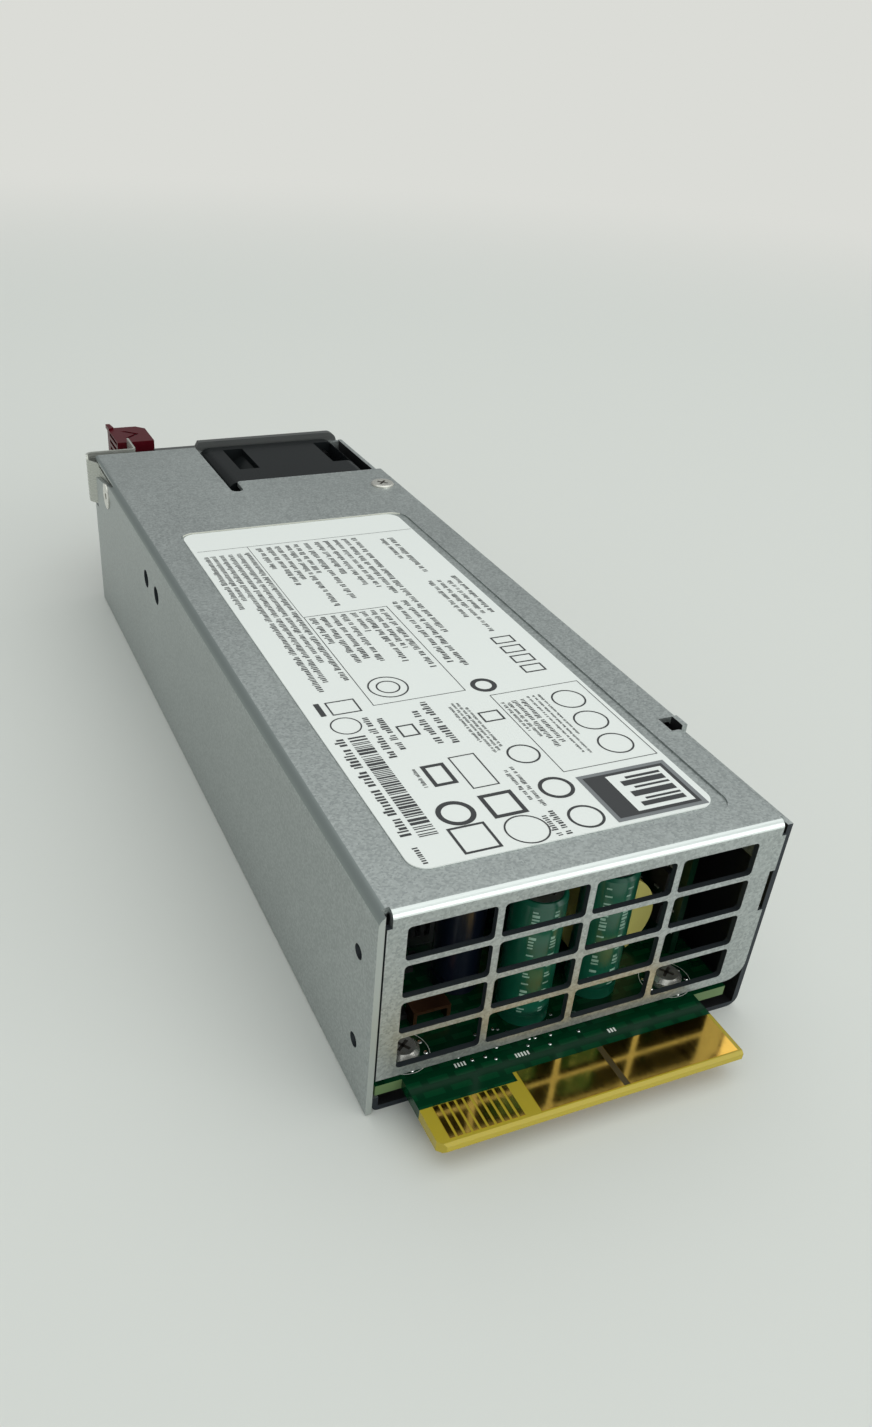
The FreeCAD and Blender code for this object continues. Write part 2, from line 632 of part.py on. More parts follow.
def along(axis, **places):
    """Tests for straight edges along an axis that pass through the given places.

    A place is one length, or a list of lengths of which any will do.
    """
    def test(edge):
        if edge.Curve.TypeId != "Part::GeomLine":
            return False
        first, last = edge.Vertexes[0].Point, edge.Vertexes[-1].Point
        for letter in "xyz":
            start, end = getattr(first, letter), getattr(last, letter)
            if letter == axis:
                if abs(end - start) < CLOSE:
                    return False
                continue
            if abs(end - start) > CLOSE:
                return False
            allowed = places.get(letter)
            if allowed is None:
                continue
            if not isinstance(allowed, (list, tuple)):
                allowed = [allowed]
            if min(abs(start - float(as_size(length))) for length in allowed) > CLOSE:
                return False
        return True
    return test


# ---- PartDesign bodies --------------------------------------------------------------------

ROLES = {"xy": "XY_Plane", "xz": "XZ_Plane", "yz": "YZ_Plane"}


def new_body(name):
    return doc.addObject("PartDesign::Body", name)


def new_sketch(owner, name, plane, offset):
    """A sketch on one of the body's own origin planes, moved along that plane's normal."""
    sketch = owner.newObject("Sketcher::SketchObject", name)
    support = next(f for f in owner.Origin.OriginFeatures if f.Role == ROLES[plane])
    sketch.AttachmentSupport = [(support, "")]
    sketch.MapMode = "FlatFace"
    bind(sketch, "AttachmentOffset.Base.z", offset)
    return sketch


def pin_down(sketch, curve, end, across, up):
    """Fixes a point of a curve to the sheet, measured from the sketch's origin."""
    for kind, length in (("DistanceX", across), ("DistanceY", up)):
        size = as_size(length)
        index = sketch.addConstraint(Sketcher.Constraint(kind, -1, 1, curve, end, size.number))
        bind(sketch, "Constraints[%d]" % index, size)


def draw_outline(sketch, corners):
    """A closed outline of straight lines through the corners."""
    first = sketch.GeometryCount
    count = len(corners)
    spots = [point(across, up, 0) for across, up in corners]
    for number in range(count):
        line = Part.LineSegment(spots[number], spots[(number + 1) % count])
        sketch.addGeometry(line, False)
    for number in range(count):
        following = first + (number + 1) % count
        joint = Sketcher.Constraint("Coincident", first + number, 2, following, 1)
        sketch.addConstraint(joint)
    for number, (across, up) in enumerate(corners):
        pin_down(sketch, first + number, 1, across, up)


def draw_circle(sketch, across, up, radius):
    """A circle about a point."""
    size = as_size(radius)
    circle = Part.Circle(point(across, up, 0), Vector(0, 0, 1), size.number)
    curve = sketch.addGeometry(circle, False)
    index = sketch.addConstraint(Sketcher.Constraint("Radius", curve, size.number))
    bind(sketch, "Constraints[%d]" % index, size)
    pin_down(sketch, curve, 3, across, up)


def corners_of(across, up):
    """The four corners of a rectangle."""
    return [(across[0], up[0]), (across[1], up[0]), (across[1], up[1]), (across[0], up[1])]


def extrude(owner, kind, name, plane, span, outlines=(), circles=()):
    """Adds or cuts a drawn profile between two planes.

    span gives the low and high planes along the axis that the sketch plane faces.  The xz
    plane's normal is -Y, so there the offsets change sign.  A Pad follows the normal and a
    Pocket goes against it.
    """
    low, high = span
    if plane == "xz":
        offset = -high if kind == "Pad" else -low
    else:
        offset = low if kind == "Pad" else high
    sketch = new_sketch(owner, name + "_sketch", plane, offset)
    for corners in outlines:
        draw_outline(sketch, corners)
    for circle in circles:
        draw_circle(sketch, *circle)
    feature = owner.newObject("PartDesign::" + kind, name)
    feature.Profile = sketch
    bind(feature, "Length", high - low)
    return feature


def dress(owner, kind, name, base, size, test):
    """Fillets or chamfers those edges of a body's feature that pass a test."""
    doc.recompute()
    edges = ["Edge%d" % number
             for number, edge in enumerate(base.Shape.Edges, start=1) if test(edge)]
    feature = owner.newObject("PartDesign::" + kind, name)
    feature.Base = (base, edges)
    bind(feature, "Radius" if kind == "Fillet" else "Size", size)
    return feature


# ---- Planes and centres that several pieces share -------------------------------------------

front = d.case_length / 2           # outer plane of the grille face
rear = -front                       # outer plane of the operator panel
half_width = d.case_width / 2
wall_inside = half_width - d.metal  # inner planes of both side walls are at + and - this
roof = d.case_height - d.metal      # underside of the top plate

board_under = d.metal + d.standoff_height
board_top = board_under + d.board_thickness

fan_left = -wall_inside + d.fan_side_gap + d.fan_size
fan_x = fan_left - d.fan_size / 2
fan_z = d.metal + d.fan_lift + d.fan_size / 2
fan_back = rear + d.metal           # operator end of the fan, against the panel
fan_front = fan_back + d.fan_depth

# latch heights, all hung from the top face
leaf_low = d.case_height - d.leaf_low_drop
leaf_high = d.case_height - d.leaf_high_drop
leaf_anchor_low = d.case_height - d.leaf_anchor_low_drop
leaf_anchor_high = d.case_height - d.leaf_anchor_high_drop
crest_high = d.case_height - d.crest_high_drop
arm_low = d.case_height - d.arm_low_drop
arm_high = d.case_height - d.arm_high_drop
wall_slot_low = d.case_height - d.wall_slot_low_drop
wall_slope_low = d.case_height - d.wall_slope_low_drop
tab_low = d.case_height - d.tab_low_drop
tab_high = d.case_height - d.tab_high_drop
rivet_y = front - d.rivet_setback
rivet_z = d.case_height - d.rivet_drop

inlet_x = wall_inside - d.inlet_side_gap - d.inlet_body_width / 2
inlet_z = d.inlet_centre_up
light_z = (inlet_z + d.inlet_body_height / 2 + roof) / 2  # between the inlet and the top plate

handle_right = fan_left + d.handle_gap
handle_left = handle_right + d.handle_width
handle_x = (handle_right + handle_left) / 2
handle_top = d.case_height - d.handle_drop
bezel_back = rear - d.bezel_thickness


def square_pattern(centre_x, centre_z, pitch):
    """The four corners of a square pattern seen from the operator end."""
    half = pitch / 2
    return [(centre_x + sx * half, centre_z + sz * half) for sx in (-1, 1) for sz in (-1, 1)]


fan_screw_places = square_pattern(fan_x, fan_z, d.fan_screw_pitch)
handle_screw_places = [
    (handle_x, handle_top - d.handle_arm / 2),
    (handle_x, d.handle_bottom + d.handle_arm / 2),
]


# ---- Top cover: top plate, left wall and grille face, bent from one sheet ---------------------

cover_back = rear + d.cover_step
face_left = wall_inside - d.face_seam
face_right = -face_left
grille_left = half_width - d.grille_side_margin
grille_right = -half_width + d.grille_free_margin
hole_width = (grille_left - grille_right - 3 * d.grille_bar_width) / 4
hole_pitch_x = hole_width + d.grille_bar_width
hole_pitch_z = d.grille_hole_height + d.grille_bar_height
grille_top = d.case_height - d.grille_top_margin
flange_outside = -wall_inside + d.seam / 2
flange_back = front - d.hook_front
hook_back = flange_back - d.hook_length
hook_inside = -half_width + d.hook_depth
notch_front = fan_front + d.notch_ahead
notch_left = fan_left + d.notch_gap
cover_screw_x = -half_width + d.cover_screw_side
cover_screw_y = notch_front + d.cover_screw_ahead

cover = new_body("cover")
profile = extrude(cover, "Pad", "cover_top_and_wall", "xz", (cover_back, front), [[
    (half_width, d.seam),
    (half_width, d.case_height),
    (-half_width, d.case_height),
    (-half_width, roof),
    (wall_inside, roof),
    (wall_inside, d.seam),
]])
outer_bend = dress(cover, "Fillet", "cover_long_bend", profile, d.bend_radius,
                   along("y", x=half_width, z=d.case_height))
dress(cover, "Fillet", "cover_long_bend_inside", outer_bend, d.bend_radius - d.metal,
      along("y", x=wall_inside, z=roof))
extrude(cover, "Pad", "cover_face", "xz", (front - d.metal, front), [[
    (face_left, d.case_height),
    (face_left, d.face_foot),
    (face_right, d.face_foot),
    (face_right, d.face_notch_low),
    (face_right + d.face_notch_depth, d.face_notch_low),
    (face_right + d.face_notch_depth, d.face_notch_high),
    (face_right, d.face_notch_high),
    (face_right, d.case_height),
]])
extrude(cover, "Pad", "cover_flange", "yz", (flange_outside, flange_outside + d.metal), [
    corners_of((flange_back, front - d.flange_front_gap),
               (d.case_height - d.flange_height, d.case_height)),
])
side_step = extrude(cover, "Pocket", "cover_side_step", "xy", (roof - d.metal, d.case_height), [[
    (-half_width - d.metal, flange_back),
    (-half_width - d.metal, front + d.metal),
    (flange_outside, front + d.metal),
    (flange_outside, flange_back),
]])
dress(cover, "Fillet", "cover_flange_bend", side_step, d.metal * 0.9,
      along("y", x=flange_outside, z=d.case_height))
extrude(cover, "Pocket", "cover_hook_slot", "xy", (roof - d.metal, d.case_height), [
    corners_of((-half_width - d.metal, hook_inside), (hook_back, flange_back)),
])
extrude(cover, "Pocket", "cover_fan_notch", "xy", (roof - d.metal, d.case_height), [[
    (-half_width - d.metal, cover_back - d.metal),
    (notch_left, cover_back - d.metal),
    (notch_left, notch_front + d.notch_relief_length),
    (notch_left - d.notch_relief_width, notch_front + d.notch_relief_length),
    (notch_left - d.notch_relief_width, notch_front),
    (-half_width - d.metal, notch_front),
]])
slope_foot = front - d.wall_slot_setback
slope_head = front - d.wall_slope_start
extrude(cover, "Pocket", "cover_latch_slot", "yz", (wall_inside - d.metal, half_width + d.metal), [[
    (cover_back - d.metal, wall_slot_low),
    (slope_foot, wall_slot_low),
    (slope_foot, wall_slope_low),
    (slope_head, roof),
    (cover_back - d.metal, roof),
]])
extrude(cover, "Pocket", "cover_plate_edge", "yz",
        (half_width - d.plate_edge, half_width + d.metal), [
            corners_of((cover_back - d.metal, slope_head), (roof, d.case_height + d.metal)),
        ])
extrude(cover, "Pocket", "cover_wall_holes", "yz", (wall_inside - d.metal, half_width), circles=[
    (front - d.tab_hole_setback, d.tab_hole_low, d.tab_hole_radius),
    (front - d.tab_hole_setback, d.tab_hole_high, d.tab_hole_radius),
    (front - d.side_hole_setback, d.side_hole_rise, d.side_hole_radius),
    (front - d.side_hole_setback - d.side_hole_pitch, d.side_hole_rise, d.side_hole_radius),
    (rivet_y, rivet_z, d.rivet_neck_radius + d.screw_slack),
])
extrude(cover, "Pocket", "cover_screw_hole", "xy", (roof - d.metal, d.case_height), circles=[
    (cover_screw_x, cover_screw_y, d.cover_screw_radius + d.screw_slack),
])
relief_back = front - 2 * d.relief_radius
extrude(cover, "Pocket", "cover_corner_reliefs", "xy",
        (d.case_height - d.relief_depth, d.case_height + d.metal), [
            corners_of((face_left - d.relief_radius, wall_inside), (relief_back, front + d.metal)),
            corners_of((flange_outside - d.metal, face_right + d.relief_radius),
                       (relief_back, front + d.metal)),
        ])

# label recess, pressed into the top plate
label_x = d.label_offset
label_left = label_x + d.label_width / 2
label_right = label_x - d.label_width / 2
label_front = front - d.label_setback
label_back = label_front - d.label_length
recess_floor = d.case_height - d.recess_depth
extrude(cover, "Pocket", "cover_label_recess", "xy", (recess_floor, d.case_height), [
    corners_of((label_right - d.recess_near_margin, label_left + d.recess_margin),
               (label_back - d.recess_margin, label_front + d.recess_near_margin)),
])

# air holes: one column of holes, repeated across the face
first_column = []
for row in range(4):
    top = grille_top - row * hole_pitch_z
    first_column.append(corners_of((grille_left - hole_width, grille_left),
                                   (top - d.grille_hole_height, top)))
column = extrude(cover, "Pocket", "cover_grille_column", "xz", (front - 2 * d.metal, front),
                 first_column)
grille = cover.newObject("PartDesign::LinearPattern", "cover_grille")
grille.Originals = [column]
grille.Direction = (column.Profile[0], ["H_Axis"])
grille.Reversed = True
grille.Occurrences = 4
bind(grille, "Length", 3 * hole_pitch_x)
cover.Tip = grille
doc.recompute()

hole_sides = [grille_left - column_number * hole_pitch_x - side * hole_width
              for column_number in range(4) for side in (0, 1)]
hole_corners = dress(cover, "Fillet", "cover_hole_corners", grille, d.grille_corner_radius,
                     along("y", x=hole_sides))
recess_corners = dress(
    cover, "Fillet", "cover_recess_corners", hole_corners,
    d.label_corner_radius + d.recess_margin,
    along("z", x=[label_right - d.recess_near_margin, label_left + d.recess_margin]))
face_corner = dress(cover, "Fillet", "cover_face_corner", recess_corners, d.face_corner_radius,
                    along("y", x=face_right, z=d.face_foot))
face_bend = dress(cover, "Fillet", "cover_face_bend", face_corner, d.face_bend_radius,
                  along("x", y=front, z=d.case_height))
relief_end = dress(cover, "Fillet", "cover_relief_end", face_bend,
                   d.notch_relief_width / 2 * 0.98,
                   along("z", y=notch_front + d.notch_relief_length))
dress(cover, "Fillet", "cover_notch_corner", relief_end, d.notch_corner_radius,
      along("z", x=notch_left - d.notch_relief_width, y=notch_front))
node(cover, "top_cover")


# ---- Bottom tray: floor, right wall, low left flange and operator panel ------------------------

tray_front = front - d.cover_step
tray_left = wall_inside - d.seam
flange_top = board_under - 2 * d.seam
wall_top = roof - d.seam / 2
panel_top = d.case_height - d.panel_drop
panel_front = rear + d.metal
panel_right = -wall_inside + d.seam / 2
panel_slot_right = d.bezel_reach + d.metal
panel_slot_low = arm_low - 2 * d.seam

tray = new_body("tray")
extrude(tray, "Pad", "tray_floor_and_walls", "xz", (rear, tray_front), [[
    (-half_width, 0),
    (tray_left, 0),
    (tray_left, flange_top),
    (tray_left - d.metal, flange_top),
    (tray_left - d.metal, d.metal),
    (-wall_inside, d.metal),
    (-wall_inside, wall_top),
    (-half_width, wall_top),
]])
extrude(tray, "Pad", "tray_panel", "xz", (rear, panel_front), [[
    (panel_right, 0),
    (tray_left, 0),
    (tray_left, panel_slot_low),
    (panel_slot_right, panel_slot_low),
    (panel_slot_right, panel_top),
    (panel_right, panel_top),
]])
extrude(tray, "Pad", "tray_hook_tab", "yz", (-half_width, -wall_inside), [
    corners_of((hook_back + (d.hook_length - d.hook_tab_length) / 2,
                flange_back - (d.hook_length - d.hook_tab_length) / 2),
               (wall_top - d.metal, d.case_height + d.hook_tab_rise)),
])
extrude(tray, "Pad", "tray_screw_tab", "xy", (roof - d.metal, roof), [
    corners_of((-half_width, -wall_inside + d.screw_tab_reach),
               (cover_screw_y - d.screw_tab_width / 2, cover_screw_y + d.screw_tab_width / 2)),
])
cutout = (d.cutout_slack * 2 + d.inlet_body_width) / 2
cutout_up = (d.cutout_slack * 2 + d.inlet_body_height) / 2
extrude(tray, "Pocket", "tray_inlet_cutout", "xz", (rear - d.metal, panel_front + d.metal), [
    corners_of((inlet_x - cutout, inlet_x + cutout), (inlet_z - cutout_up, inlet_z + cutout_up)),
])
panel_holes = [(fan_x, fan_z, d.fan_bore_radius + d.panel_hole_gap)]
panel_holes += [(x, z, d.fan_screw_radius + d.screw_slack) for x, z in fan_screw_places]
panel_holes += [(x, z, d.handle_screw_radius + d.screw_slack) for x, z in handle_screw_places]
panel_holes += [(d.light_across, light_z, d.light_radius + d.cutout_slack)]
extrude(tray, "Pocket", "tray_panel_holes", "xz", (rear - d.metal, panel_front + d.metal),
        circles=panel_holes)
tray_holes = extrude(tray, "Pocket", "tray_screw_hole", "xy", (roof - 2 * d.metal, roof), circles=[
    (cover_screw_x, cover_screw_y, d.cover_screw_radius + d.thread_slack),
])
tray_right_bend = dress(tray, "Fillet", "tray_right_bend", tray_holes, d.bend_radius,
                        along("y", x=-half_width, z=0))
dress(tray, "Fillet", "tray_left_bend", tray_right_bend, d.face_bend_radius,
      along("y", x=tray_left, z=0))
node(tray, "bottom_tray")


# ---- Rating label: a bare printed film in its recess -------------------------------------------

label_film = block("label_film", (label_right, label_left), (label_back, label_front),
                   (recess_floor, recess_floor + d.label_thickness))
label = soften("label", label_film, d.label_corner_radius, along("z"))
node(label, "rating_label")


# ---- Main board with its card edge -------------------------------------------------------------

board_left = wall_inside - d.board_side_gap
board_right = -wall_inside + d.board_right_gap
board_shoulder = front - d.board_front_gap
board_back = front - d.board_end
wing_back = front - d.board_wing_end
tip = front + d.tongue_reach
board_screw_places = [(side, front - setback)
                      for side in (d.board_screw_left, -d.board_screw_right)
                      for setback in (d.board_screw_front, d.board_screw_middle,
                                      d.board_screw_back)]

board = new_body("board")
extrude(board, "Pad", "board_outline", "xy", (board_under, board_top), [[
    (board_left, board_shoulder),
    (d.tongue_left, board_shoulder),
    (d.tongue_left, tip - d.tongue_key_chamfer),
    (d.tongue_left - d.tongue_key_chamfer, tip),
    (-d.tongue_right, tip),
    (-d.tongue_right, board_shoulder),
    (board_right, board_shoulder),
    (board_right, board_back),
    (d.board_wing_edge, board_back),
    (d.board_wing_edge, wing_back),
    (board_left, wing_back),
]])
board_holes = extrude(board, "Pocket", "board_screw_holes", "xy", (board_under, board_top),
                      circles=[(x, y, d.board_screw_radius + d.screw_slack)
                               for x, y in board_screw_places])
dress(board, "Chamfer", "board_tip_bevel", board_holes, d.tongue_bevel,
      along("x", y=tip))
node(board, "main_board")

# plated contacts on both sides of the card edge
contact_levels = [(board_top, board_top + d.contact_thickness),
                  (board_under - d.contact_thickness, board_under)]
pad_tip = tip - d.pad_tip_margin
pad_two_left = -d.pad_one_right - d.pad_gap
pads = []
for side, level in enumerate(contact_levels):
    pads.append(block("pad_one_%d" % side, (-d.pad_one_right, d.pad_one_left),
                      (pad_tip - d.pad_length, pad_tip), level))
    pads.append(block("pad_two_%d" % side, (pad_two_left - d.pad_two_width, pad_two_left),
                      (pad_tip - d.pad_length, pad_tip), level))
node(group("power_pads", pads), "power_contacts")

finger_tip = tip - d.finger_tip_margin
fingers = []
for number in range(int(float(d.finger_count))):
    centre = d.finger_first - number * d.finger_pitch
    for side, level in enumerate(contact_levels):
        fingers.append(block("finger_%d_%d" % (number, side),
                             (centre - d.finger_width / 2, centre + d.finger_width / 2),
                             (finger_tip - d.finger_length, finger_tip), level))
node(group("signal_fingers", fingers), "signal_contacts")

# standoffs pressed into the tray floor, and the screws that hold the board down
standoffs = []
board_screws = []
for number, (x, y) in enumerate(board_screw_places):
    post = rod("standoff_post_%d" % number, "z", (x, y, d.metal), d.standoff_radius,
               d.standoff_height)
    bore = rod("standoff_bore_%d" % number, "z", (x, y, d.metal), d.standoff_bore,
               d.standoff_height)
    standoffs.append(cut("standoff_%d" % number, post, [bore]))
    shank = rod("board_screw_shank_%d" % number, "z",
                (x, y, board_top - d.board_screw_length), d.board_screw_radius,
                d.board_screw_length)
    head = rod("board_screw_head_%d" % number, "z", (x, y, board_top), d.board_head_radius,
               d.board_head_height)
    domed = bevel("board_screw_dome_%d" % number, head, d.board_head_height * 0.4,
                  lambda edge: edge.BoundBox.ZMin > float(board_top) + CLOSE
                  and edge.BoundBox.ZLength < CLOSE)
    board_screws.append(fuse("board_screw_%d" % number, [shank, domed]))
node(group("standoffs", standoffs), "board_standoffs")
node(group("board_screw_set", board_screws), "board_screws")

# insulating films on the tray floor and on the inside of the left wall
lining_front = front - d.lining_front - d.board_screw_front / 2
lining_back = front - d.lining_end
floor_film = block("floor_film", (board_right, tray_left - d.metal - d.lining_gap),
                   (lining_back, lining_front), (d.metal, d.metal + d.insulator_thickness))
film_holes = [rod("film_hole_%d" % number, "z", (x, y, 0), d.standoff_radius + d.lining_gap,
                  board_under)
              for number, (x, y) in enumerate(board_screw_places)]
node(cut("floor_film_cut", floor_film, film_holes), "floor_insulator")
wall_film = block("wall_film", (wall_inside - d.insulator_thickness, wall_inside),
                  (lining_back, lining_front), (board_under, roof - d.lining_top_gap))
node(wall_film, "wall_insulator")


# ---- Fan: frame with motor base, bearing, stator, shaft and impeller ---------------------------

fan_half = d.fan_size / 2
fan_top = fan_z + fan_half
fan_right = fan_left - d.fan_size
base_front = fan_back + d.fan_base_depth
bearing_back = fan_back + d.fan_base_depth / 3


def fan_pocket_spans(middle):
    """Where the relief pockets lie along one side of the frame, one on each hand."""
    return [(middle + d.fan_pocket_left_in, middle + d.fan_pocket_left_out),
            (middle - d.fan_pocket_right_out, middle - d.fan_pocket_right_in)]


fan = new_body("fan")
fan_block = extrude(fan, "Pad", "fan_block", "xz", (fan_back, fan_front), [
    corners_of((fan_right, fan_left), (fan_z - fan_half, fan_top)),
])
dress(fan, "Fillet", "fan_corners", fan_block, d.fan_corner_radius, along("y"))
pocket_span = (fan_back + d.fan_flange, fan_front - d.fan_pocket_front)
pocket_floor = fan_half - d.fan_pocket_depth
extrude(fan, "Pocket", "fan_top_and_bottom_pockets", "xz", pocket_span, [
    corners_of(span, levels)
    for span in fan_pocket_spans(fan_x)
    for levels in ((fan_z + pocket_floor, fan_top), (fan_z - fan_half, fan_z - pocket_floor))
])
extrude(fan, "Pocket", "fan_side_pockets", "xz", pocket_span, [
    corners_of(levels, span)
    for span in fan_pocket_spans(fan_z)
    for levels in ((fan_x + pocket_floor, fan_left), (fan_right, fan_x - pocket_floor))
])
extrude(fan, "Pad", "fan_barrel", "xz", (fan_back, fan_front),
        circles=[(fan_x, fan_z, d.fan_bore_radius + d.fan_barrel_wall)])
extrude(fan, "Pocket", "fan_bore", "xz", (fan_back, fan_front),
        circles=[(fan_x, fan_z, d.fan_bore_radius)])
extrude(fan, "Pocket", "fan_screw_bores", "xz", (fan_back, fan_front),
        circles=[(x, z, d.fan_screw_radius + d.thread_slack) for x, z in fan_screw_places])
strut_half = d.fan_strut_width / 2
strut_reach = d.fan_bore_radius + d.fan_barrel_wall / 2
extrude(fan, "Pad", "fan_level_struts", "xz", (fan_back, base_front), [
    corners_of((fan_x - strut_reach, fan_x + strut_reach),
               (fan_z - strut_half, fan_z + strut_half)),
])
extrude(fan, "Pad", "fan_upright_struts", "xz", (fan_back, base_front), [
    corners_of((fan_x - strut_half, fan_x + strut_half),
               (fan_z - strut_reach, fan_z + strut_reach)),
])
extrude(fan, "Pad", "fan_base", "xz", (fan_back, base_front),
        circles=[(fan_x, fan_z, d.fan_base_radius)])
extrude(fan, "Pad", "fan_bearing_tube", "xz", (fan_back, bearing_back + d.bearing_length),
        circles=[(fan_x, fan_z, d.bearing_tube_radius)])
extrude(fan, "Pocket", "fan_bearing_seat", "xz",
        (bearing_back, bearing_back + d.bearing_length),
        circles=[(fan_x, fan_z, d.bearing_radius)])
doc.recompute()
node(fan, "fan_frame")

sleeve = rod("sleeve", "y", (fan_x, bearing_back, fan_z), d.bearing_radius, d.bearing_length)
sleeve_bore = rod("sleeve_bore", "y", (fan_x, bearing_back, fan_z),
                  d.shaft_radius + d.shaft_clearance, d.bearing_length)
node(cut("sleeve_cut", sleeve, [sleeve_bore]), "fan_bearing")

stator_back = base_front + d.hub_gap
stack = rod("stator_stack", "y", (fan_x, stator_back, fan_z), d.stator_radius, d.stator_length)
stack_cuts = [rod("stator_bore", "y", (fan_x, stator_back, fan_z),
                  d.bearing_tube_radius, d.stator_length)]
slot_half = d.stator_radius / 8
for number, (across, up) in enumerate(((1, 0), (0, 1), (-1, 0), (0, -1))):
    middle = (d.stator_radius + d.bearing_tube_radius) / 2 + d.hub_wall
    slot = block("stator_slot_%d" % number,
                 (fan_x + across * middle - 2 * slot_half, fan_x + across * middle + 2 * slot_half),
                 (stator_back, stator_back + d.stator_length),
                 (fan_z + up * middle - 2 * slot_half, fan_z + up * middle + 2 * slot_half))
    stack_cuts.append(slot)
node(cut("stator_cut", stack, stack_cuts), "fan_stator")

hub_back = base_front + d.hub_gap
hub_front = hub_back + d.hub_length
shaft_back = bearing_back + d.hub_gap
shaft_front = hub_front - d.hub_wall / 4
node(rod("fan_axle", "y", (fan_x, shaft_back, fan_z), d.shaft_radius, shaft_front - shaft_back),
     "fan_shaft")


def blade_section(radius, pitch, angle, along_axis):
    """A blade's cross-section at a radius, square to the radius."""
    half_chord = float(d.blade_chord) / 2
    half_thick = float(d.blade_thickness) / 2
    radial = Vector(math.cos(angle), 0, math.sin(angle))
    turning = Vector(-math.sin(angle), 0, math.cos(angle))
    axial = Vector(0, 1, 0)
    chord = turning * math.cos(pitch) + axial * math.sin(pitch)
    thick = axial * math.cos(pitch) - turning * math.sin(pitch)
    middle = point(fan_x, along_axis, fan_z) + radial * radius
    corners = [middle + chord * (sc * half_chord) + thick * (st * half_thick)
               for sc, st in ((-1, -1), (1, -1), (1, 1), (-1, 1))]
    return Part.makePolygon(corners + corners[:1])


def impeller_shape():
    """Hub cup with a boss for the shaft, and twisted blades trimmed to the bore."""
    turn_axis = Vector(0, 1, 0)
    root = float(d.hub_radius)
    outer_end = float(d.fan_bore_radius - d.blade_gap)
    length = float(d.hub_length)
    wall = float(d.hub_wall)
    start = point(fan_x, hub_back, fan_z)
    hub = Part.makeCylinder(root, length, start, turn_axis)
    nose = [edge for edge in hub.Edges
            if abs(edge.BoundBox.YMin - float(hub_front)) < CLOSE
            and edge.BoundBox.YLength < CLOSE]
    hub = hub.makeFillet(wall, nose)
    hollow = Part.makeCylinder(root - wall, length - wall, start, turn_axis)
    boss_radius = float(d.shaft_radius) + wall
    boss_length = float(d.hub_length - (d.bearing_length + d.hub_gap)) - wall
    boss_start = start + turn_axis * (length - boss_length)
    boss = Part.makeCylinder(boss_radius, boss_length - wall / 2, boss_start, turn_axis)
    middle_y = (hub_back + hub_front) / 2
    envelope = Part.makeCylinder(outer_end, length, start, turn_axis)
    rim = Part.makeCylinder(root - wall / 2, length, start, turn_axis)
    blades = []
    count = int(float(d.blade_count))
    for number in range(count):
        angle = 2 * math.pi * number / count
        inner = blade_section(root - wall, math.radians(float(d.blade_root_pitch)), angle,
                              middle_y)
        outer = blade_section(float(d.fan_bore_radius) + wall,
                              math.radians(float(d.blade_tip_pitch)), angle, middle_y)
        blade = Part.makeLoft([inner, outer], True, True)
        blades.append(blade.common(envelope).cut(rim))
    solid = hub.cut(hollow).fuse([boss] + blades)
    shaft = Part.makeCylinder(float(d.shaft_radius), length - wall / 4, start, turn_axis)
    return solid.cut(shaft).removeSplitter()


node(made("impeller", impeller_shape()), "fan_impeller")

fan_screws = []
for number, (x, z) in enumerate(fan_screw_places):
    shank = rod("fan_screw_shank_%d" % number, "y", (x, rear, z), d.fan_screw_radius,
                d.fan_screw_length)
    head = rod("fan_screw_head_%d" % number, "y", (x, rear - d.fan_head_height, z),
               d.fan_head_radius, d.fan_head_height)
    domed = bevel("fan_screw_dome_%d" % number, head, d.fan_head_height * 0.4,
                   lambda edge: edge.BoundBox.YMax < float(rear) - CLOSE
                   and edge.BoundBox.YLength < CLOSE)
    fan_screws.append(fuse("fan_screw_%d" % number, [shank, domed]))
node(group("fan_screw_set", fan_screws), "fan_screws")


# ---- Moulded bezel with finger guard over the fan ----------------------------------------------

bezel_right = -half_width + d.bezel_margin
inlet_flange_right = inlet_x - d.inlet_flange_width / 2
bezel_inner_left = inlet_flange_right - d.bezel_gap
bezel_top = d.case_height - d.bezel_gap
bezel_high = d.case_height + d.bezel_rise
bezel_step = inlet_z + d.inlet_flange_height / 2 + d.bezel_gap
bezel_raised_left = fan_left + d.bezel_gap

bezel = new_body("bezel")
bezel_plate = extrude(bezel, "Pad", "bezel_plate", "xz", (bezel_back, rear), [[
    (bezel_right, d.bezel_gap),
    (bezel_inner_left, d.bezel_gap),
    (bezel_inner_left, bezel_step),
    (d.bezel_reach, bezel_step),
    (d.bezel_reach, bezel_top),
    (bezel_raised_left, bezel_top),
    (bezel_raised_left - d.bezel_chamfer, bezel_high),
    (bezel_right, bezel_high),
]])
dress(bezel, "Fillet", "bezel_corner", bezel_plate, d.bezel_corner_radius,
      along("y", x=bezel_right, z=bezel_high))
guard_hole = d.fan_bore_radius - d.bezel_gap
bezel_holes = [(fan_x, fan_z, guard_hole),
               (d.light_across, light_z, d.light_radius + d.shaft_clearance)]
bezel_holes += [(x, z, d.fan_head_radius + d.screw_slack) for x, z in fan_screw_places]
bezel_holes += [(x, z, d.handle_screw_radius + d.screw_slack) for x, z in handle_screw_places]
extrude(bezel, "Pocket", "bezel_openings", "xz", (bezel_back, rear), circles=bezel_holes)
guard_front = bezel_back + d.guard_thickness
spoke_half = d.guard_spoke_width / 2
extrude(bezel, "Pad", "guard_level_spoke", "xz", (bezel_back, guard_front), [
    corners_of((fan_x - guard_hole, fan_x + guard_hole),
               (fan_z - spoke_half, fan_z + spoke_half)),
])
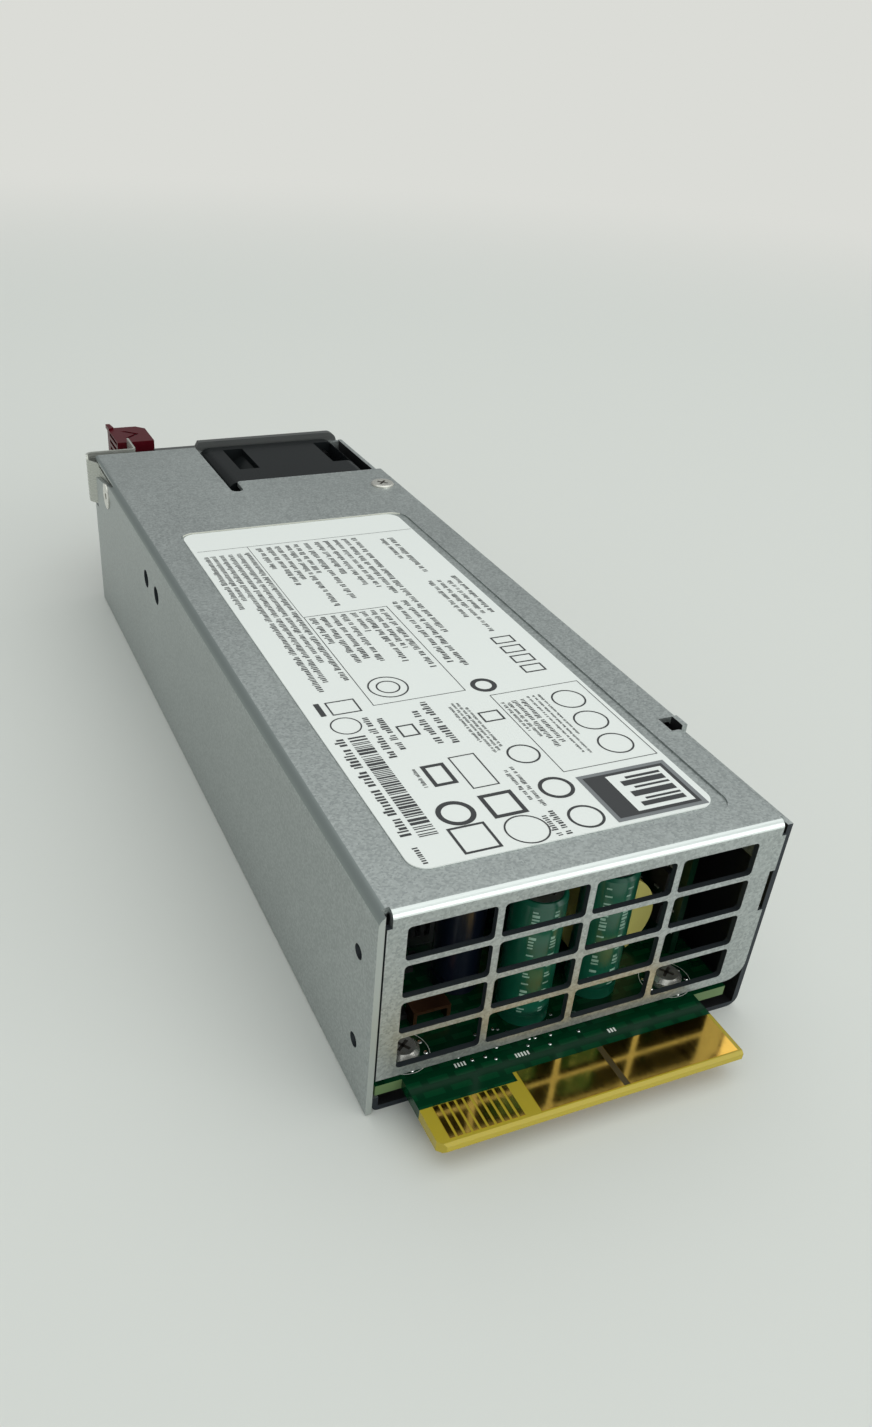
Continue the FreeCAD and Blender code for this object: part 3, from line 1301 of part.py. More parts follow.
extrude(bezel, "Pad", "guard_upright_spoke", "xz", (bezel_back, guard_front), [
    corners_of((fan_x - spoke_half, fan_x + spoke_half),
               (fan_z - guard_hole, fan_z + guard_hole)),
])
for number in range(4):
    ring_radius = d.guard_first_radius + number * d.guard_ring_pitch
    extrude(bezel, "Pad", "guard_ring_%d" % number, "xz", (bezel_back, guard_front), circles=[
        (fan_x, fan_z, ring_radius + d.guard_ring_width / 2),
        (fan_x, fan_z, ring_radius - d.guard_ring_width / 2),
    ])
node(bezel, "rear_bezel")


# ---- Pull handle: a fixed loop screwed on from inside ------------------------------------------

grip_back = bezel_back - d.handle_reach
grip_front = grip_back + d.handle_bar
arm_under = handle_top - d.handle_arm
droop_top = handle_top - d.handle_droop
droop_under = arm_under - d.handle_droop
lower_arm_top = d.handle_bottom + d.handle_arm

handle = new_body("handle")
loop = extrude(handle, "Pad", "handle_loop", "yz", (handle_right, handle_left), [[
    (bezel_back, d.handle_bottom),
    (bezel_back, lower_arm_top),
    (grip_front, lower_arm_top),
    (grip_front, droop_under),
    (bezel_back, arm_under),
    (bezel_back, handle_top),
    (grip_back, droop_top),
    (grip_back, d.handle_bottom),
]])
loop_outside = dress(handle, "Fillet", "handle_outside_corners", loop, d.handle_corner_radius,
                     along("x", y=grip_back))
dress(handle, "Fillet", "handle_inside_corners", loop_outside,
      d.handle_inner_radius, along("x", y=grip_front))
foot_depth = d.handle_screw_length - d.bezel_thickness - d.metal
foot_holes = extrude(handle, "Pocket", "handle_screw_bores", "xz",
                     (bezel_back - foot_depth - d.screw_slack, bezel_back),
                     circles=[(x, z, d.handle_screw_radius + d.thread_slack)
                              for x, z in handle_screw_places])
dress(handle, "Chamfer", "handle_edges", foot_holes, d.handle_edge_radius / 2,
      lambda edge: edge.BoundBox.XLength < CLOSE
      and min(abs(edge.BoundBox.XMin - float(side)) for side in (handle_right, handle_left)) < CLOSE
      and edge.BoundBox.YMin < float(bezel_back) - CLOSE)
node(handle, "pull_handle")

handle_screws = []
for number, (x, z) in enumerate(handle_screw_places):
    shank = rod("handle_screw_shank_%d" % number, "y",
                (x, panel_front - d.handle_screw_length, z), d.handle_screw_radius,
                d.handle_screw_length)
    head = rod("handle_screw_head_%d" % number, "y", (x, panel_front, z), d.handle_head_radius,
               d.handle_head_height)
    handle_screws.append(fuse("handle_screw_%d" % number, [shank, head]))
node(group("handle_screw_set", handle_screws), "handle_screws")


# ---- AC inlet with its three blades ------------------------------------------------------------

inlet_face = rear - d.inlet_flange_thickness
inlet_end = rear + d.inlet_body_depth
cavity_floor = inlet_end - d.inlet_back_wall
cavity_half = d.inlet_cavity_width / 2
cavity_up = d.inlet_cavity_height / 2
blade_half = d.blade_width_ac / 2
blade_up = d.blade_thickness_ac / 2
blade_places = [
    (inlet_x - d.blade_offset_ac, inlet_z + d.blade_pitch_ac),
    (inlet_x + d.blade_offset_ac, inlet_z),
    (inlet_x - d.blade_offset_ac, inlet_z - d.blade_pitch_ac),
]


def blade_outline(x, z):
    return corners_of((x - blade_half, x + blade_half), (z - blade_up, z + blade_up))


inlet = new_body("inlet")
inlet_flange = extrude(inlet, "Pad", "inlet_flange", "xz", (inlet_face, rear), [
    corners_of((inlet_flange_right, inlet_x + d.inlet_flange_width / 2),
               (inlet_z - d.inlet_flange_height / 2, inlet_z + d.inlet_flange_height / 2)),
])
dress(inlet, "Fillet", "inlet_flange_corners", inlet_flange, d.bend_radius / 2, along("y"))
extrude(inlet, "Pad", "inlet_body", "xz", (rear, inlet_end), [
    corners_of((inlet_x - d.inlet_body_width / 2, inlet_x + d.inlet_body_width / 2),
               (inlet_z - d.inlet_body_height / 2, inlet_z + d.inlet_body_height / 2)),
])
extrude(inlet, "Pocket", "inlet_cavity", "xz", (inlet_face, cavity_floor), [[
    (inlet_x - cavity_half, inlet_z - cavity_up),
    (inlet_x + cavity_half - d.inlet_cavity_chamfer, inlet_z - cavity_up),
    (inlet_x + cavity_half, inlet_z - cavity_up + d.inlet_cavity_chamfer),
    (inlet_x + cavity_half, inlet_z + cavity_up - d.inlet_cavity_chamfer),
    (inlet_x + cavity_half - d.inlet_cavity_chamfer, inlet_z + cavity_up),
    (inlet_x - cavity_half, inlet_z + cavity_up),
]])
extrude(inlet, "Pocket", "inlet_blade_slots", "xz", (cavity_floor, inlet_end),
        [blade_outline(x, z) for x, z in blade_places])
node(inlet, "ac_inlet_housing")

inlet_blades = []
tail_end = inlet_end + d.blade_tail_ac
for number, (x, z) in enumerate(blade_places):
    blade = block("inlet_blade_%d" % number, (x - blade_half, x + blade_half),
                  (inlet_face + d.blade_setback_ac, inlet_end), (z - blade_up, z + blade_up))
    tail = block("inlet_tail_%d" % number, (x - blade_half / 2, x + blade_half / 2),
                 (inlet_end, tail_end), (z - blade_up / 2, z + blade_up / 2))
    tipped = bevel("inlet_tip_%d" % number, blade, blade_up * 0.6,
                   along("x", y=inlet_face + d.blade_setback_ac))
    inlet_blades.append(fuse("inlet_contact_%d" % number, [tipped, tail]))
node(group("inlet_contact_set", inlet_blades), "inlet_blades")


# ---- Light pipe and lamp -----------------------------------------------------------------------

light_back = bezel_back - d.light_proud
light_front = bezel_back + d.light_length
pipe = rod("light_rod", "y", (d.light_across, light_back, light_z), d.light_radius,
           light_front - light_back)
node(pipe, "light_pipe")

lamp_end = light_front + d.led_length
lead_back = front - d.led_lead_setback
lamp_pieces = [Part.makeCylinder(float(d.light_radius), float(d.led_length),
                                 point(d.light_across, light_front, light_z),
                                 Vector(0, 1, 0))]
for side in (-1, 1):
    x = d.light_across + side * d.led_lead_pitch / 2
    lamp_pieces.append(wire_along(
        [(x, lamp_end - d.led_lead_radius, light_z), (x, lead_back, light_z),
         (x, lead_back, board_top)], d.led_lead_radius, d.led_lead_pitch))
node(made("lamp", lamp_pieces[0].fuse(lamp_pieces[1:]).removeSplitter()), "status_led")


# ---- Release latch: a bent spring strip with a moulded tab -------------------------------------

leaf_x = wall_inside - d.leaf_gap - d.leaf_thickness / 2
crest_x = half_width + d.tooth_reach - d.leaf_thickness / 2
leaf_front = front - d.leaf_setback
arm_y = front - d.arm_setback
strip_end = front - d.arm_end
leaf_half = d.leaf_thickness / 2


def strip_shape():
    """The strip bent from one ribbon, trimmed to its outline seen from the side."""
    line = path([
        (leaf_x, leaf_front, 0),
        (leaf_x, front - d.tooth_start, 0),
        (crest_x, front - d.tooth_peak, 0),
        (crest_x, arm_y, 0),
        (d.arm_turn, arm_y, 0),
        (d.arm_turn, strip_end, 0),
    ], [d.leaf_corner_radius, d.leaf_corner_radius, d.arm_corner_radius, d.leaf_corner_radius])
    section = Part.makePolygon([
        point(leaf_x - leaf_half, leaf_front, leaf_low),
        point(leaf_x + leaf_half, leaf_front, leaf_low),
        point(leaf_x + leaf_half, leaf_front, leaf_high),
        point(leaf_x - leaf_half, leaf_front, leaf_high),
        point(leaf_x - leaf_half, leaf_front, leaf_low),
    ])
    line.translate(Vector(0, 0, float(leaf_low)))
    ribbon = swept(line, section)
    slot = front - d.wall_slot_setback
    outside = half_width + d.tooth_reach + d.metal
    profile = Part.Face(Part.makePolygon([point(outside, y, z) for y, z in (
        (leaf_front, leaf_anchor_low),
        (leaf_front, leaf_anchor_high),
        (slot - d.leaf_corner_radius, leaf_anchor_high),
        (slot - d.leaf_corner_radius, crest_high),
        (front - d.tooth_end, crest_high),
        (front - d.tooth_end - d.leaf_thickness, leaf_high),
        (front - d.tab_setback, leaf_high),
        (front - d.tab_setback, arm_high),
        (strip_end, arm_high),
        (strip_end, arm_low),
        (arm_y + leaf_half + d.bezel_gap, arm_low),
        (front - d.tooth_end, leaf_low),
        (slot - d.leaf_corner_radius, leaf_low),
        (slot - d.leaf_corner_radius, leaf_anchor_low),
        (leaf_front, leaf_anchor_low),
    )]))
    outline = profile.extrude(Vector(-float(outside), 0, 0))
    strip = ribbon.common(outline)
    rivet_hole = Part.makeCylinder(float(d.rivet_radius + d.rivet_slack), float(d.metal * 2),
                                   point(wall_inside - d.metal * 2, rivet_y, rivet_z),
                                   Vector(1, 0, 0))
    return strip.cut(rivet_hole).removeSplitter()


node(made("latch_strip", strip_shape()), "latch_spring")

# the rivet: a flat head outside the wall, its neck, and a small head on the strip
shank_end = wall_inside - d.leaf_gap - d.leaf_thickness - d.screw_slack
rivet = rod("rivet_shank", "x", (shank_end, rivet_y, rivet_z), d.rivet_radius,
            wall_inside - shank_end)
inner_head = rod("rivet_inner_head", "x",
                 (shank_end - d.rivet_head_height, rivet_y, rivet_z),
                 d.rivet_head_radius, d.rivet_head_height)
neck = rod("rivet_neck", "x", (wall_inside, rivet_y, rivet_z), d.rivet_neck_radius, d.metal)
flat_head = rod("rivet_flat_head", "x", (half_width, rivet_y, rivet_z), d.rivet_face_radius,
                d.rivet_face_height)
dimple = rod("rivet_dimple", "x",
             (half_width + d.rivet_face_height - d.rivet_dimple_depth, rivet_y, rivet_z),
             d.rivet_dimple_radius, d.rivet_dimple_depth)
node(cut("latch_rivet", fuse("rivet_body", [rivet, inner_head, neck, flat_head]), [dimple]),
     "latch_rivet")

tab_left = d.arm_turn + d.tab_overlap
tab_right = tab_left - d.tab_width
tab_front = front - d.tab_setback
tab_back = tab_front - d.tab_length
tab = new_body("tab")
extrude(tab, "Pad", "tab_block", "xy", (tab_low, tab_high), [[
    (tab_left, tab_front),
    (tab_right, tab_front),
    (tab_right, tab_back + d.tab_chamfer),
    (tab_right + d.tab_chamfer, tab_back),
    (tab_left, tab_back),
]])
extrude(tab, "Pad", "tab_tip", "xy", (tab_high - d.tab_tip, tab_high + d.tab_tip), [[
    (tab_left, tab_back + d.tab_chamfer),
    (tab_left - d.tab_chamfer * 0.7, tab_back + d.tab_chamfer / 2),
    (tab_left - d.tab_chamfer * 0.5, tab_back - d.tab_chamfer),
    (tab_left, tab_back - d.tab_chamfer),
]])
groove_half = d.tab_tooth_pitch / 4
extrude(tab, "Pocket", "tab_grooves", "yz", (tab_left - d.tab_tooth, tab_left), [
    corners_of((tab_back + d.tab_chamfer + d.tab_tooth, tab_front - d.tab_tooth),
               (tab_low + (number + 0.75) * d.tab_tooth_pitch - groove_half,
                tab_low + (number + 0.75) * d.tab_tooth_pitch + groove_half))
    for number in range(int(float(d.tab_teeth)))
])
mark_x = (tab_left + tab_right) / 2 + d.tab_mark_width / 2
mark_y = (tab_front + tab_back) / 2
mark_arm = d.tab_width * 0.3
extrude(tab, "Pocket", "tab_mark", "xy", (tab_high - d.tab_mark_depth, tab_high), [[
    (mark_x + mark_arm / 2, mark_y + mark_arm),
    (mark_x + mark_arm / 2 - d.tab_mark_width, mark_y + mark_arm),
    (mark_x - mark_arm, mark_y),
    (mark_x + mark_arm / 2 - d.tab_mark_width, mark_y - mark_arm),
    (mark_x + mark_arm / 2, mark_y - mark_arm),
    (mark_x - mark_arm + d.tab_mark_width, mark_y),
]])
extrude(tab, "Pocket", "tab_strip_slot", "xz", (strip_end, tab_front), [
    corners_of((d.arm_turn - leaf_half, d.arm_turn + leaf_half), (arm_low, arm_high)),
])
node(tab, "release_tab")


# ---- Cover screw -------------------------------------------------------------------------------

cover_shank = rod("cover_screw_shank", "z",
                  (cover_screw_x, cover_screw_y, d.case_height - d.cover_screw_length),
                  d.cover_screw_radius, d.cover_screw_length)
cover_head = rod("cover_screw_head", "z", (cover_screw_x, cover_screw_y, d.case_height),
                 d.cover_head_radius, d.cover_head_height)
cover_dome = bevel("cover_screw_dome", cover_head, d.cover_head_height * 0.5,
                    lambda edge: edge.BoundBox.ZMin > float(d.case_height) + CLOSE
                    and edge.BoundBox.ZLength < CLOSE)
node(fuse("cover_fixing", [cover_shank, cover_dome]), "cover_screw")


# ---- Connector end of the inside: capacitors, choke, shunt, control board ----------------------

def on_board(setback):
    """A place along the case measured from the connector face."""
    return front - setback


def can(name, x, y, radius, height):
    """A standing capacitor with its crimp groove."""
    body = rod(name + "_body", "z", (x, y, board_top), radius, height)
    rounded = bevel(name + "_round", body, d.can_groove,
                     lambda edge: edge.BoundBox.ZMin > float(board_top) + CLOSE
                     and edge.BoundBox.ZLength < CLOSE)
    groove_low = board_top + d.can_groove_up
    outer = rod(name + "_groove_outside", "z", (x, y, groove_low), radius + d.can_groove,
                d.can_groove * 2)
    inner = rod(name + "_groove_inside", "z", (x, y, groove_low), radius - d.can_groove,
                d.can_groove * 2)
    return cut(name, rounded, [cut(name + "_groove", outer, [inner])])


def wound_core(name, x, y, radius, hole, depth, wire, spans, lift):
    """A ring core that stands on the board, and windings over parts of it."""
    z = board_top + lift + radius
    start = (x, y - depth / 2, z)
    solid = rod(name + "_core_solid", "y", start, radius, depth)
    core = cut(name + "_core", solid,
               [rod(name + "_core_hole", "y", start, hole, depth)])
    wound_start = (x, y - depth / 2 - wire, z)
    wound_depth = depth + 2 * wire
    windings = []
    for number, angles in enumerate(spans):
        label = "%s_winding_%d" % (name, number)
        wedge = sector(label + "_wedge", "y", wound_start, radius + wire, wound_depth, angles)
        bore = rod(label + "_bore", "y", wound_start, hole - wire, wound_depth)
        windings.append(cut(label, wedge, [bore, core]))
    return core, windings


node(group("output_cans", [
    can("output_can_one", d.can_one_across, on_board(d.can_one_setback), d.can_radius,
        d.can_height),
    can("output_can_two", d.can_two_across, on_board(d.can_two_setback), d.can_radius,
        d.can_height),
]), "output_capacitors")
node(group("filter_cans", [
    can("filter_can_one", d.filter_one_across, on_board(d.filter_setback), d.filter_radius,
        d.filter_height),
    can("filter_can_two", d.filter_two_across, on_board(d.filter_setback), d.filter_radius,
        d.filter_height),
]), "filter_capacitors")

seat = d.bezel_gap / 2
choke_core, choke_windings = wound_core(
    "output_choke", d.output_choke_across, on_board(d.output_choke_setback),
    d.output_choke_radius, d.output_choke_hole, d.output_choke_depth, d.output_choke_wire,
    [(-235, -50)], seat)
node(choke_core, "output_choke_core")
node(choke_windings[0], "output_choke_winding")

shunt_y = on_board(d.shunt_setback)
shunt_block = block("shunt_block",
                    (d.shunt_across - d.shunt_length / 2, d.shunt_across + d.shunt_length / 2),
                    (shunt_y - d.shunt_width / 2, shunt_y + d.shunt_width / 2),
                    (board_top, board_top + d.shunt_height))
shunt_under = block("shunt_under",
                    (d.shunt_across - d.shunt_length / 2 + d.shunt_strip,
                     d.shunt_across + d.shunt_length / 2 - d.shunt_strip),
                    (shunt_y - d.shunt_width / 2, shunt_y + d.shunt_width / 2),
                    (board_top, board_top + d.shunt_height - d.shunt_strip))
node(cut("shunt", shunt_block, [shunt_under]), "current_shunt")

control_front = on_board(d.control_setback)
control_back = control_front - d.control_length
control_top = board_top + d.control_height
node(block("control_card", (d.control_across - d.control_thickness, d.control_across),
           (control_back, control_front), (board_top, control_top)), "control_board")
chips = []
for column in range(5):
    for row in range(3):
        chip_y = control_front - d.chip_pitch * (column + 0.8)
        chip_z = board_top + d.chip_pitch * (row + 0.9)
        chips.append(block("chip_%d_%d" % (column, row),
                           (d.control_across, d.control_across + d.chip_height),
                           (chip_y - d.chip_size / 2, chip_y + d.chip_size / 2),
                           (chip_z - d.chip_size / 2, chip_z + d.chip_size / 2)))
node(group("chip_set", chips), "control_chips")


# ---- Power stage: transformer, heat sinks, transistors, chokes, bulk capacitor -----------------

transformer_y = on_board(d.transformer_setback)
core_x = (d.transformer_across - d.transformer_width / 2,
          d.transformer_across + d.transformer_width / 2)
core_y = (transformer_y - d.transformer_depth / 2, transformer_y + d.transformer_depth / 2)
core_z = (board_top, board_top + d.transformer_height)
window_z = (core_z[0] + d.transformer_plate, core_z[1] - d.transformer_plate)
core_block = block("transformer_block", core_x, core_y, core_z)
window = block("transformer_window", (core_x[0] + d.transformer_leg, core_x[1] - d.transformer_leg),
               core_y, window_z)
post_start = (d.transformer_across, transformer_y, window_z[0])
window_height = window_z[1] - window_z[0]
post = rod("transformer_post", "z", post_start, d.transformer_post_radius, window_height)
node(fuse("transformer_cores", [cut("transformer_open", core_block, [window]), post]),
     "transformer_core")
coil_radius = d.transformer_width / 2 - d.transformer_leg - d.winding_gap
coil_start = (d.transformer_across, transformer_y, window_z[0] + d.winding_gap)
coil_height = window_height - 2 * d.winding_gap
coil = rod("transformer_coil", "z", coil_start, coil_radius, coil_height)
coil_bore = rod("transformer_coil_bore", "z", coil_start,
                d.transformer_post_radius + d.winding_gap, coil_height)
node(cut("transformer_coil_cut", coil, [coil_bore]), "transformer_winding")

sink_left = d.sink_across + d.sink_width / 2
sink_right = d.sink_across - d.sink_width / 2
sink_y = (on_board(d.sink_setback + d.sink_length), on_board(d.sink_setback))
sink_pieces = [block("sink_foot", (sink_right, sink_left), sink_y,
                     (board_top, board_top + d.sink_plate))]
fin_pitch = (d.sink_width - d.fin_thickness) / (d.fin_count - 1)
for number in range(int(float(d.fin_count))):
    fin_right = sink_right + number * fin_pitch
    sink_pieces.append(block("fin_%d" % number, (fin_right, fin_right + d.fin_thickness), sink_y,
                             (board_top + d.sink_plate / 2, board_top + d.sink_height)))
node(fuse("secondary_sink", sink_pieces), "secondary_heatsink")

plate_right = d.primary_sink_across
plate_left = plate_right + d.sink_plate
plate_y = (on_board(d.primary_sink_setback + d.primary_sink_length),
           on_board(d.primary_sink_setback))
plate_top = board_top + d.sink_height
upright = block("primary_plate", (plate_right, plate_left), plate_y, (board_top, plate_top))
lip = block("primary_lip", (plate_right, plate_left + d.primary_sink_lip), plate_y,
            (plate_top - d.sink_plate, plate_top))
node(fuse("primary_sink", [upright, lip]), "primary_heatsink")

transistors = []
for number in range(2):
    middle = plate_y[1] - d.transistor_pitch * (number + 0.5)
    bottom = board_top + d.transistor_up
    pieces = [block("transistor_body_%d" % number,
                    (plate_right - d.transistor_thickness, plate_right),
                    (middle - d.transistor_width / 2, middle + d.transistor_width / 2),
                    (bottom, bottom + d.transistor_height))]
    for side in (-1, 0, 1):
        lead_y = middle + side * d.lead_pitch
        lead_x = plate_right - d.transistor_thickness / 2
        pieces.append(block("transistor_lead_%d_%d" % (number, side + 1),
                            (lead_x - d.lead_size / 2, lead_x + d.lead_size / 2),
                            (lead_y - d.lead_size / 2, lead_y + d.lead_size / 2),
                            (board_top, bottom)))
    transistors.append(fuse("transistor_%d" % number, pieces))
node(group("transistor_set", transistors), "power_transistors")

pfc_core, pfc_windings = wound_core(
    "pfc_choke", d.pfc_across, on_board(d.pfc_setback), d.pfc_radius, d.pfc_hole, d.pfc_depth,
    d.pfc_wire, [(-240, 60)], seat)
node(pfc_core, "pfc_choke_core")
node(pfc_windings[0], "pfc_choke_winding")

bulk_z = board_top + seat + d.bulk_radius
bulk_start = (d.bulk_across, on_board(d.bulk_setback + d.bulk_length), bulk_z)
bulk = bevel("bulk_can", rod("bulk_rod", "y", bulk_start, d.bulk_radius, d.bulk_length),
              d.can_groove * 2, lambda edge: edge.BoundBox.YLength < CLOSE)
node(bulk, "bulk_capacitor")

relay_y = on_board(d.relay_setback)
relay = block("relay_box",
              (d.relay_across - d.relay_width / 2, d.relay_across + d.relay_width / 2),
              (relay_y - d.relay_length / 2, relay_y + d.relay_length / 2),
              (board_top, board_top + d.relay_height))
node(soften("relay", relay, d.can_groove, along("z")), "inrush_relay")

thermistor_y = on_board(d.thermistor_setback)
thermistor_z = board_top + d.thermistor_radius + d.lead_size
disc = rod("thermistor_disc", "y",
           (d.thermistor_across, thermistor_y - d.thermistor_thickness / 2, thermistor_z),
           d.thermistor_radius, d.thermistor_thickness)
legs = [rod("thermistor_leg_%d" % (side + 1), "z",
            (d.thermistor_across + side * d.lead_pitch, thermistor_y, board_top),
            d.lead_size / 2, d.thermistor_radius)
        for side in (-1, 1)]
node(fuse("thermistor", [disc] + legs), "inrush_thermistor")


# ---- Line side: chokes, film and disc capacitors, fuse, bridge rectifier -----------------------

line_cores = []
line_windings = []
for number in range(2):
    core, windings = wound_core(
        "line_choke_%d" % number, d.line_choke_across,
        on_board(d.line_choke_setback - number * d.line_choke_pitch), d.line_choke_radius,
        d.line_choke_hole, d.line_choke_depth, d.line_choke_wire, [(-220, -110), (-70, 40)],
        seat)
    line_cores.append(core)
    line_windings += windings
node(group("line_choke_cores_set", line_cores), "line_choke_cores")
node(group("line_choke_windings_set", line_windings), "line_choke_windings")

films = []
for number in range(2):
    film_y = on_board(d.film_setback - number * d.film_pitch)
    film = block("film_%d" % number,
                 (d.film_across - d.film_width / 2, d.film_across + d.film_width / 2),
                 (film_y - d.film_depth / 2, film_y + d.film_depth / 2),
                 (board_top, board_top + d.film_height))
    films.append(soften("film_round_%d" % number, film, d.can_groove, along("z")))
node(group("film_set", films), "line_capacitors")

discs = []
disc_y = on_board(d.disc_setback)
disc_z = board_top + d.disc_radius + d.lead_size
for number, side in enumerate((-1, 1)):
    disc_x = d.disc_across + side * d.disc_pitch / 2
    body = rod("disc_body_%d" % number, "y", (disc_x, disc_y - d.disc_thickness / 2, disc_z),
               d.disc_radius, d.disc_thickness)
    feet = [rod("disc_leg_%d_%d" % (number, foot + 1), "z",
                (disc_x + foot * d.lead_pitch / 2, disc_y, board_top), d.lead_size / 2,
                d.disc_radius)
            for foot in (-1, 1)]
    discs.append(fuse("disc_%d" % number, [body] + feet))
node(group("disc_set", discs), "disc_capacitors")

fuse_z = board_top + d.fuse_up
fuse_back = on_board(d.fuse_setback) - d.fuse_length / 2
tube = rod("fuse_tube", "y", (d.fuse_across, fuse_back, fuse_z), d.fuse_radius * 0.92,
           d.fuse_length)
fuse_pieces = [tube]
for number, start in enumerate((fuse_back, fuse_back + d.fuse_length - d.fuse_cap)):
    fuse_pieces.append(rod("fuse_cap_%d" % number, "y", (d.fuse_across, start, fuse_z),
                           d.fuse_radius, d.fuse_cap))
    fuse_pieces.append(rod("fuse_leg_%d" % number, "z",
                           (d.fuse_across, start + d.fuse_cap / 2, board_top),
                           d.lead_size / 2, d.fuse_up))
node(fuse("fuse_body", fuse_pieces), "line_fuse")

bridge_y = on_board(d.bridge_setback)
bridge_bottom = board_top + d.bridge_up
bridge_pieces = [block("bridge_body",
                       (d.bridge_across - d.bridge_width / 2, d.bridge_across + d.bridge_width / 2),
                       (bridge_y - d.bridge_length / 2, bridge_y + d.bridge_length / 2),
                       (bridge_bottom, bridge_bottom + d.bridge_height))]
for side in (-1.5, -0.5, 0.5, 1.5):
    leg_y = bridge_y + side * d.lead_pitch * 2
    bridge_pieces.append(block("bridge_lead_%d" % (side * 2 + 3),
                               (d.bridge_across - d.lead_size / 2, d.bridge_across + d.lead_size / 2),
                               (leg_y - d.lead_size / 2, leg_y + d.lead_size / 2),
                               (board_top, bridge_bottom)))
node(fuse("bridge", bridge_pieces), "bridge_rectifier")


# ---- Leads: fan plug and lead, line leads from the inlet ---------------------------------------

plug_y = on_board(d.plug_setback)
node(block("fan_plug_box", (d.plug_across - d.plug_width / 2, d.plug_across + d.plug_width / 2),
           (plug_y - d.plug_depth / 2, plug_y + d.plug_depth / 2),
           (board_top, board_top + d.plug_height)), "fan_plug")
side_gap_x = (fan_left + inlet_x - d.inlet_body_width / 2) / 2
node(made("fan_lead_sleeve", wire_along([
    (d.plug_across, plug_y, board_top + d.plug_height),
    (d.plug_across, plug_y, fan_z),
    (side_gap_x, plug_y, fan_z),
    (side_gap_x, fan_back + d.fan_base_depth / 2, fan_z),
    (fan_left, fan_back + d.fan_base_depth / 2, fan_z),
], d.wire_radius, d.wire_bend)), "fan_lead")

line_leads = []
landing_y = on_board(d.line_lead_setback)
aside = blade_places[0][0] - d.line_lead_aside
for number, (x, z) in enumerate(blade_places):
    spots = [(x, tail_end, z), (x, landing_y, z)]
    if number == 0:
        # the upper lead comes down beside the lower one
        spots.append((aside, landing_y, z))
    spots.append((spots[-1][0], landing_y, board_top))
    line_leads.append(wire_along(spots, d.line_lead_radius, d.line_lead_bend))
node(made("line_lead_set", Part.makeCompound(line_leads)), "line_leads")


# ---- Check every object, then write one file for each sub-part ---------------------------------

doc.recompute()
for item in doc.Objects:
    if {"Invalid", "Error"} & set(item.State):
        raise RuntimeError("%s failed: %s" % (item.Name, item.State))
os.makedirs("parts", exist_ok=True)
for piece in NODES:
    if piece.Shape.isNull() or not piece.Shape.isValid():
        raise RuntimeError("%s has no valid shape" % piece.Label)
    piece.Shape.exportStep("parts/%s.step" % piece.Label)
    print("%-22s %2d solids  volume %9.1f  box %s" % (
        piece.Label, len(piece.Shape.Solids), piece.Shape.Volume,
        [round(number, 2) for number in (
            piece.Shape.BoundBox.XMin, piece.Shape.BoundBox.XMax,
            piece.Shape.BoundBox.YMin, piece.Shape.BoundBox.YMax,
            piece.Shape.BoundBox.ZMin, piece.Shape.BoundBox.ZMax)]))
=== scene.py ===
import math
import random

import bmesh
import bpy
from mathutils import Matrix, Vector


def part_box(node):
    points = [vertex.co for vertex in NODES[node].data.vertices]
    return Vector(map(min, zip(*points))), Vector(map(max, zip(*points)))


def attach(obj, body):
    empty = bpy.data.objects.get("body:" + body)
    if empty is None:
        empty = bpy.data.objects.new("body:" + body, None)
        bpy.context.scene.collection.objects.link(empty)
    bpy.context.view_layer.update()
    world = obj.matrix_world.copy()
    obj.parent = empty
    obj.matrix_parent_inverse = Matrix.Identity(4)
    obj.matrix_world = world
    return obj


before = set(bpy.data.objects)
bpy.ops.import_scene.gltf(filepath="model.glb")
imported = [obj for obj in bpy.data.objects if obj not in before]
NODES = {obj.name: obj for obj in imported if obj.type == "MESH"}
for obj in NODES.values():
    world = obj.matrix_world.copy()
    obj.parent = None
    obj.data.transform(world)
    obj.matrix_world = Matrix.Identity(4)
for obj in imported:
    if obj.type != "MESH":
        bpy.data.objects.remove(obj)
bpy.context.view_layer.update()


# ---- Sheet metal case --------------------------------------------------------------------------
# The top cover and the tray are blanked and bent from galvanised steel sheet and hook into each
# other, with one screw at the rear.  The zinc shows a fine crystal grain and faint stains.

def srgb(red, green, blue):
    """A display colour, 0 to 255, as the linear colour that a shader takes."""
    def linear(value):
        value = value / 255
        return value / 12.92 if value <= 0.04045 else ((value + 0.055) / 1.055) ** 2.4
    return (linear(red), linear(green), linear(blue), 1)


SHEET = 0.0010                  # gauge of both shells
ZINC_LIGHT = srgb(182, 188, 186)
ZINC_DARK = srgb(144, 150, 149)
CRYSTAL_RANGE = (0.10, 0.90)    # of the pattern, from the darkest to the lightest crystal
CRYSTAL_SHARE = 0.62            # of the pattern; the rest is stains
GRAIN_SCALE = 2900.0            # crystals per metre
GRAIN_STRENGTH = 0.10
GRAIN_DEPTH = 0.00006
STAIN_SCALE = 38.0
ZINC_METALLIC = 0.75
ZINC_ROUGHNESS = 0.40
ROUGHNESS_SPREAD = 0.16         # how far it varies from crystal to crystal


def feed(tree, socket, value):
    """Sets a socket to a value, or links it to another node's output."""
    if isinstance(value, bpy.types.NodeSocket):
        tree.links.new(value, socket)
    else:
        socket.default_value = value


def math_node(tree, operation, *values):
    """Arithmetic on numbers or other nodes' outputs."""
    node = tree.nodes.new("ShaderNodeMath")
    node.operation = operation
    for socket, value in zip(node.inputs, values):
        feed(tree, socket, value)
    return node.outputs[0]


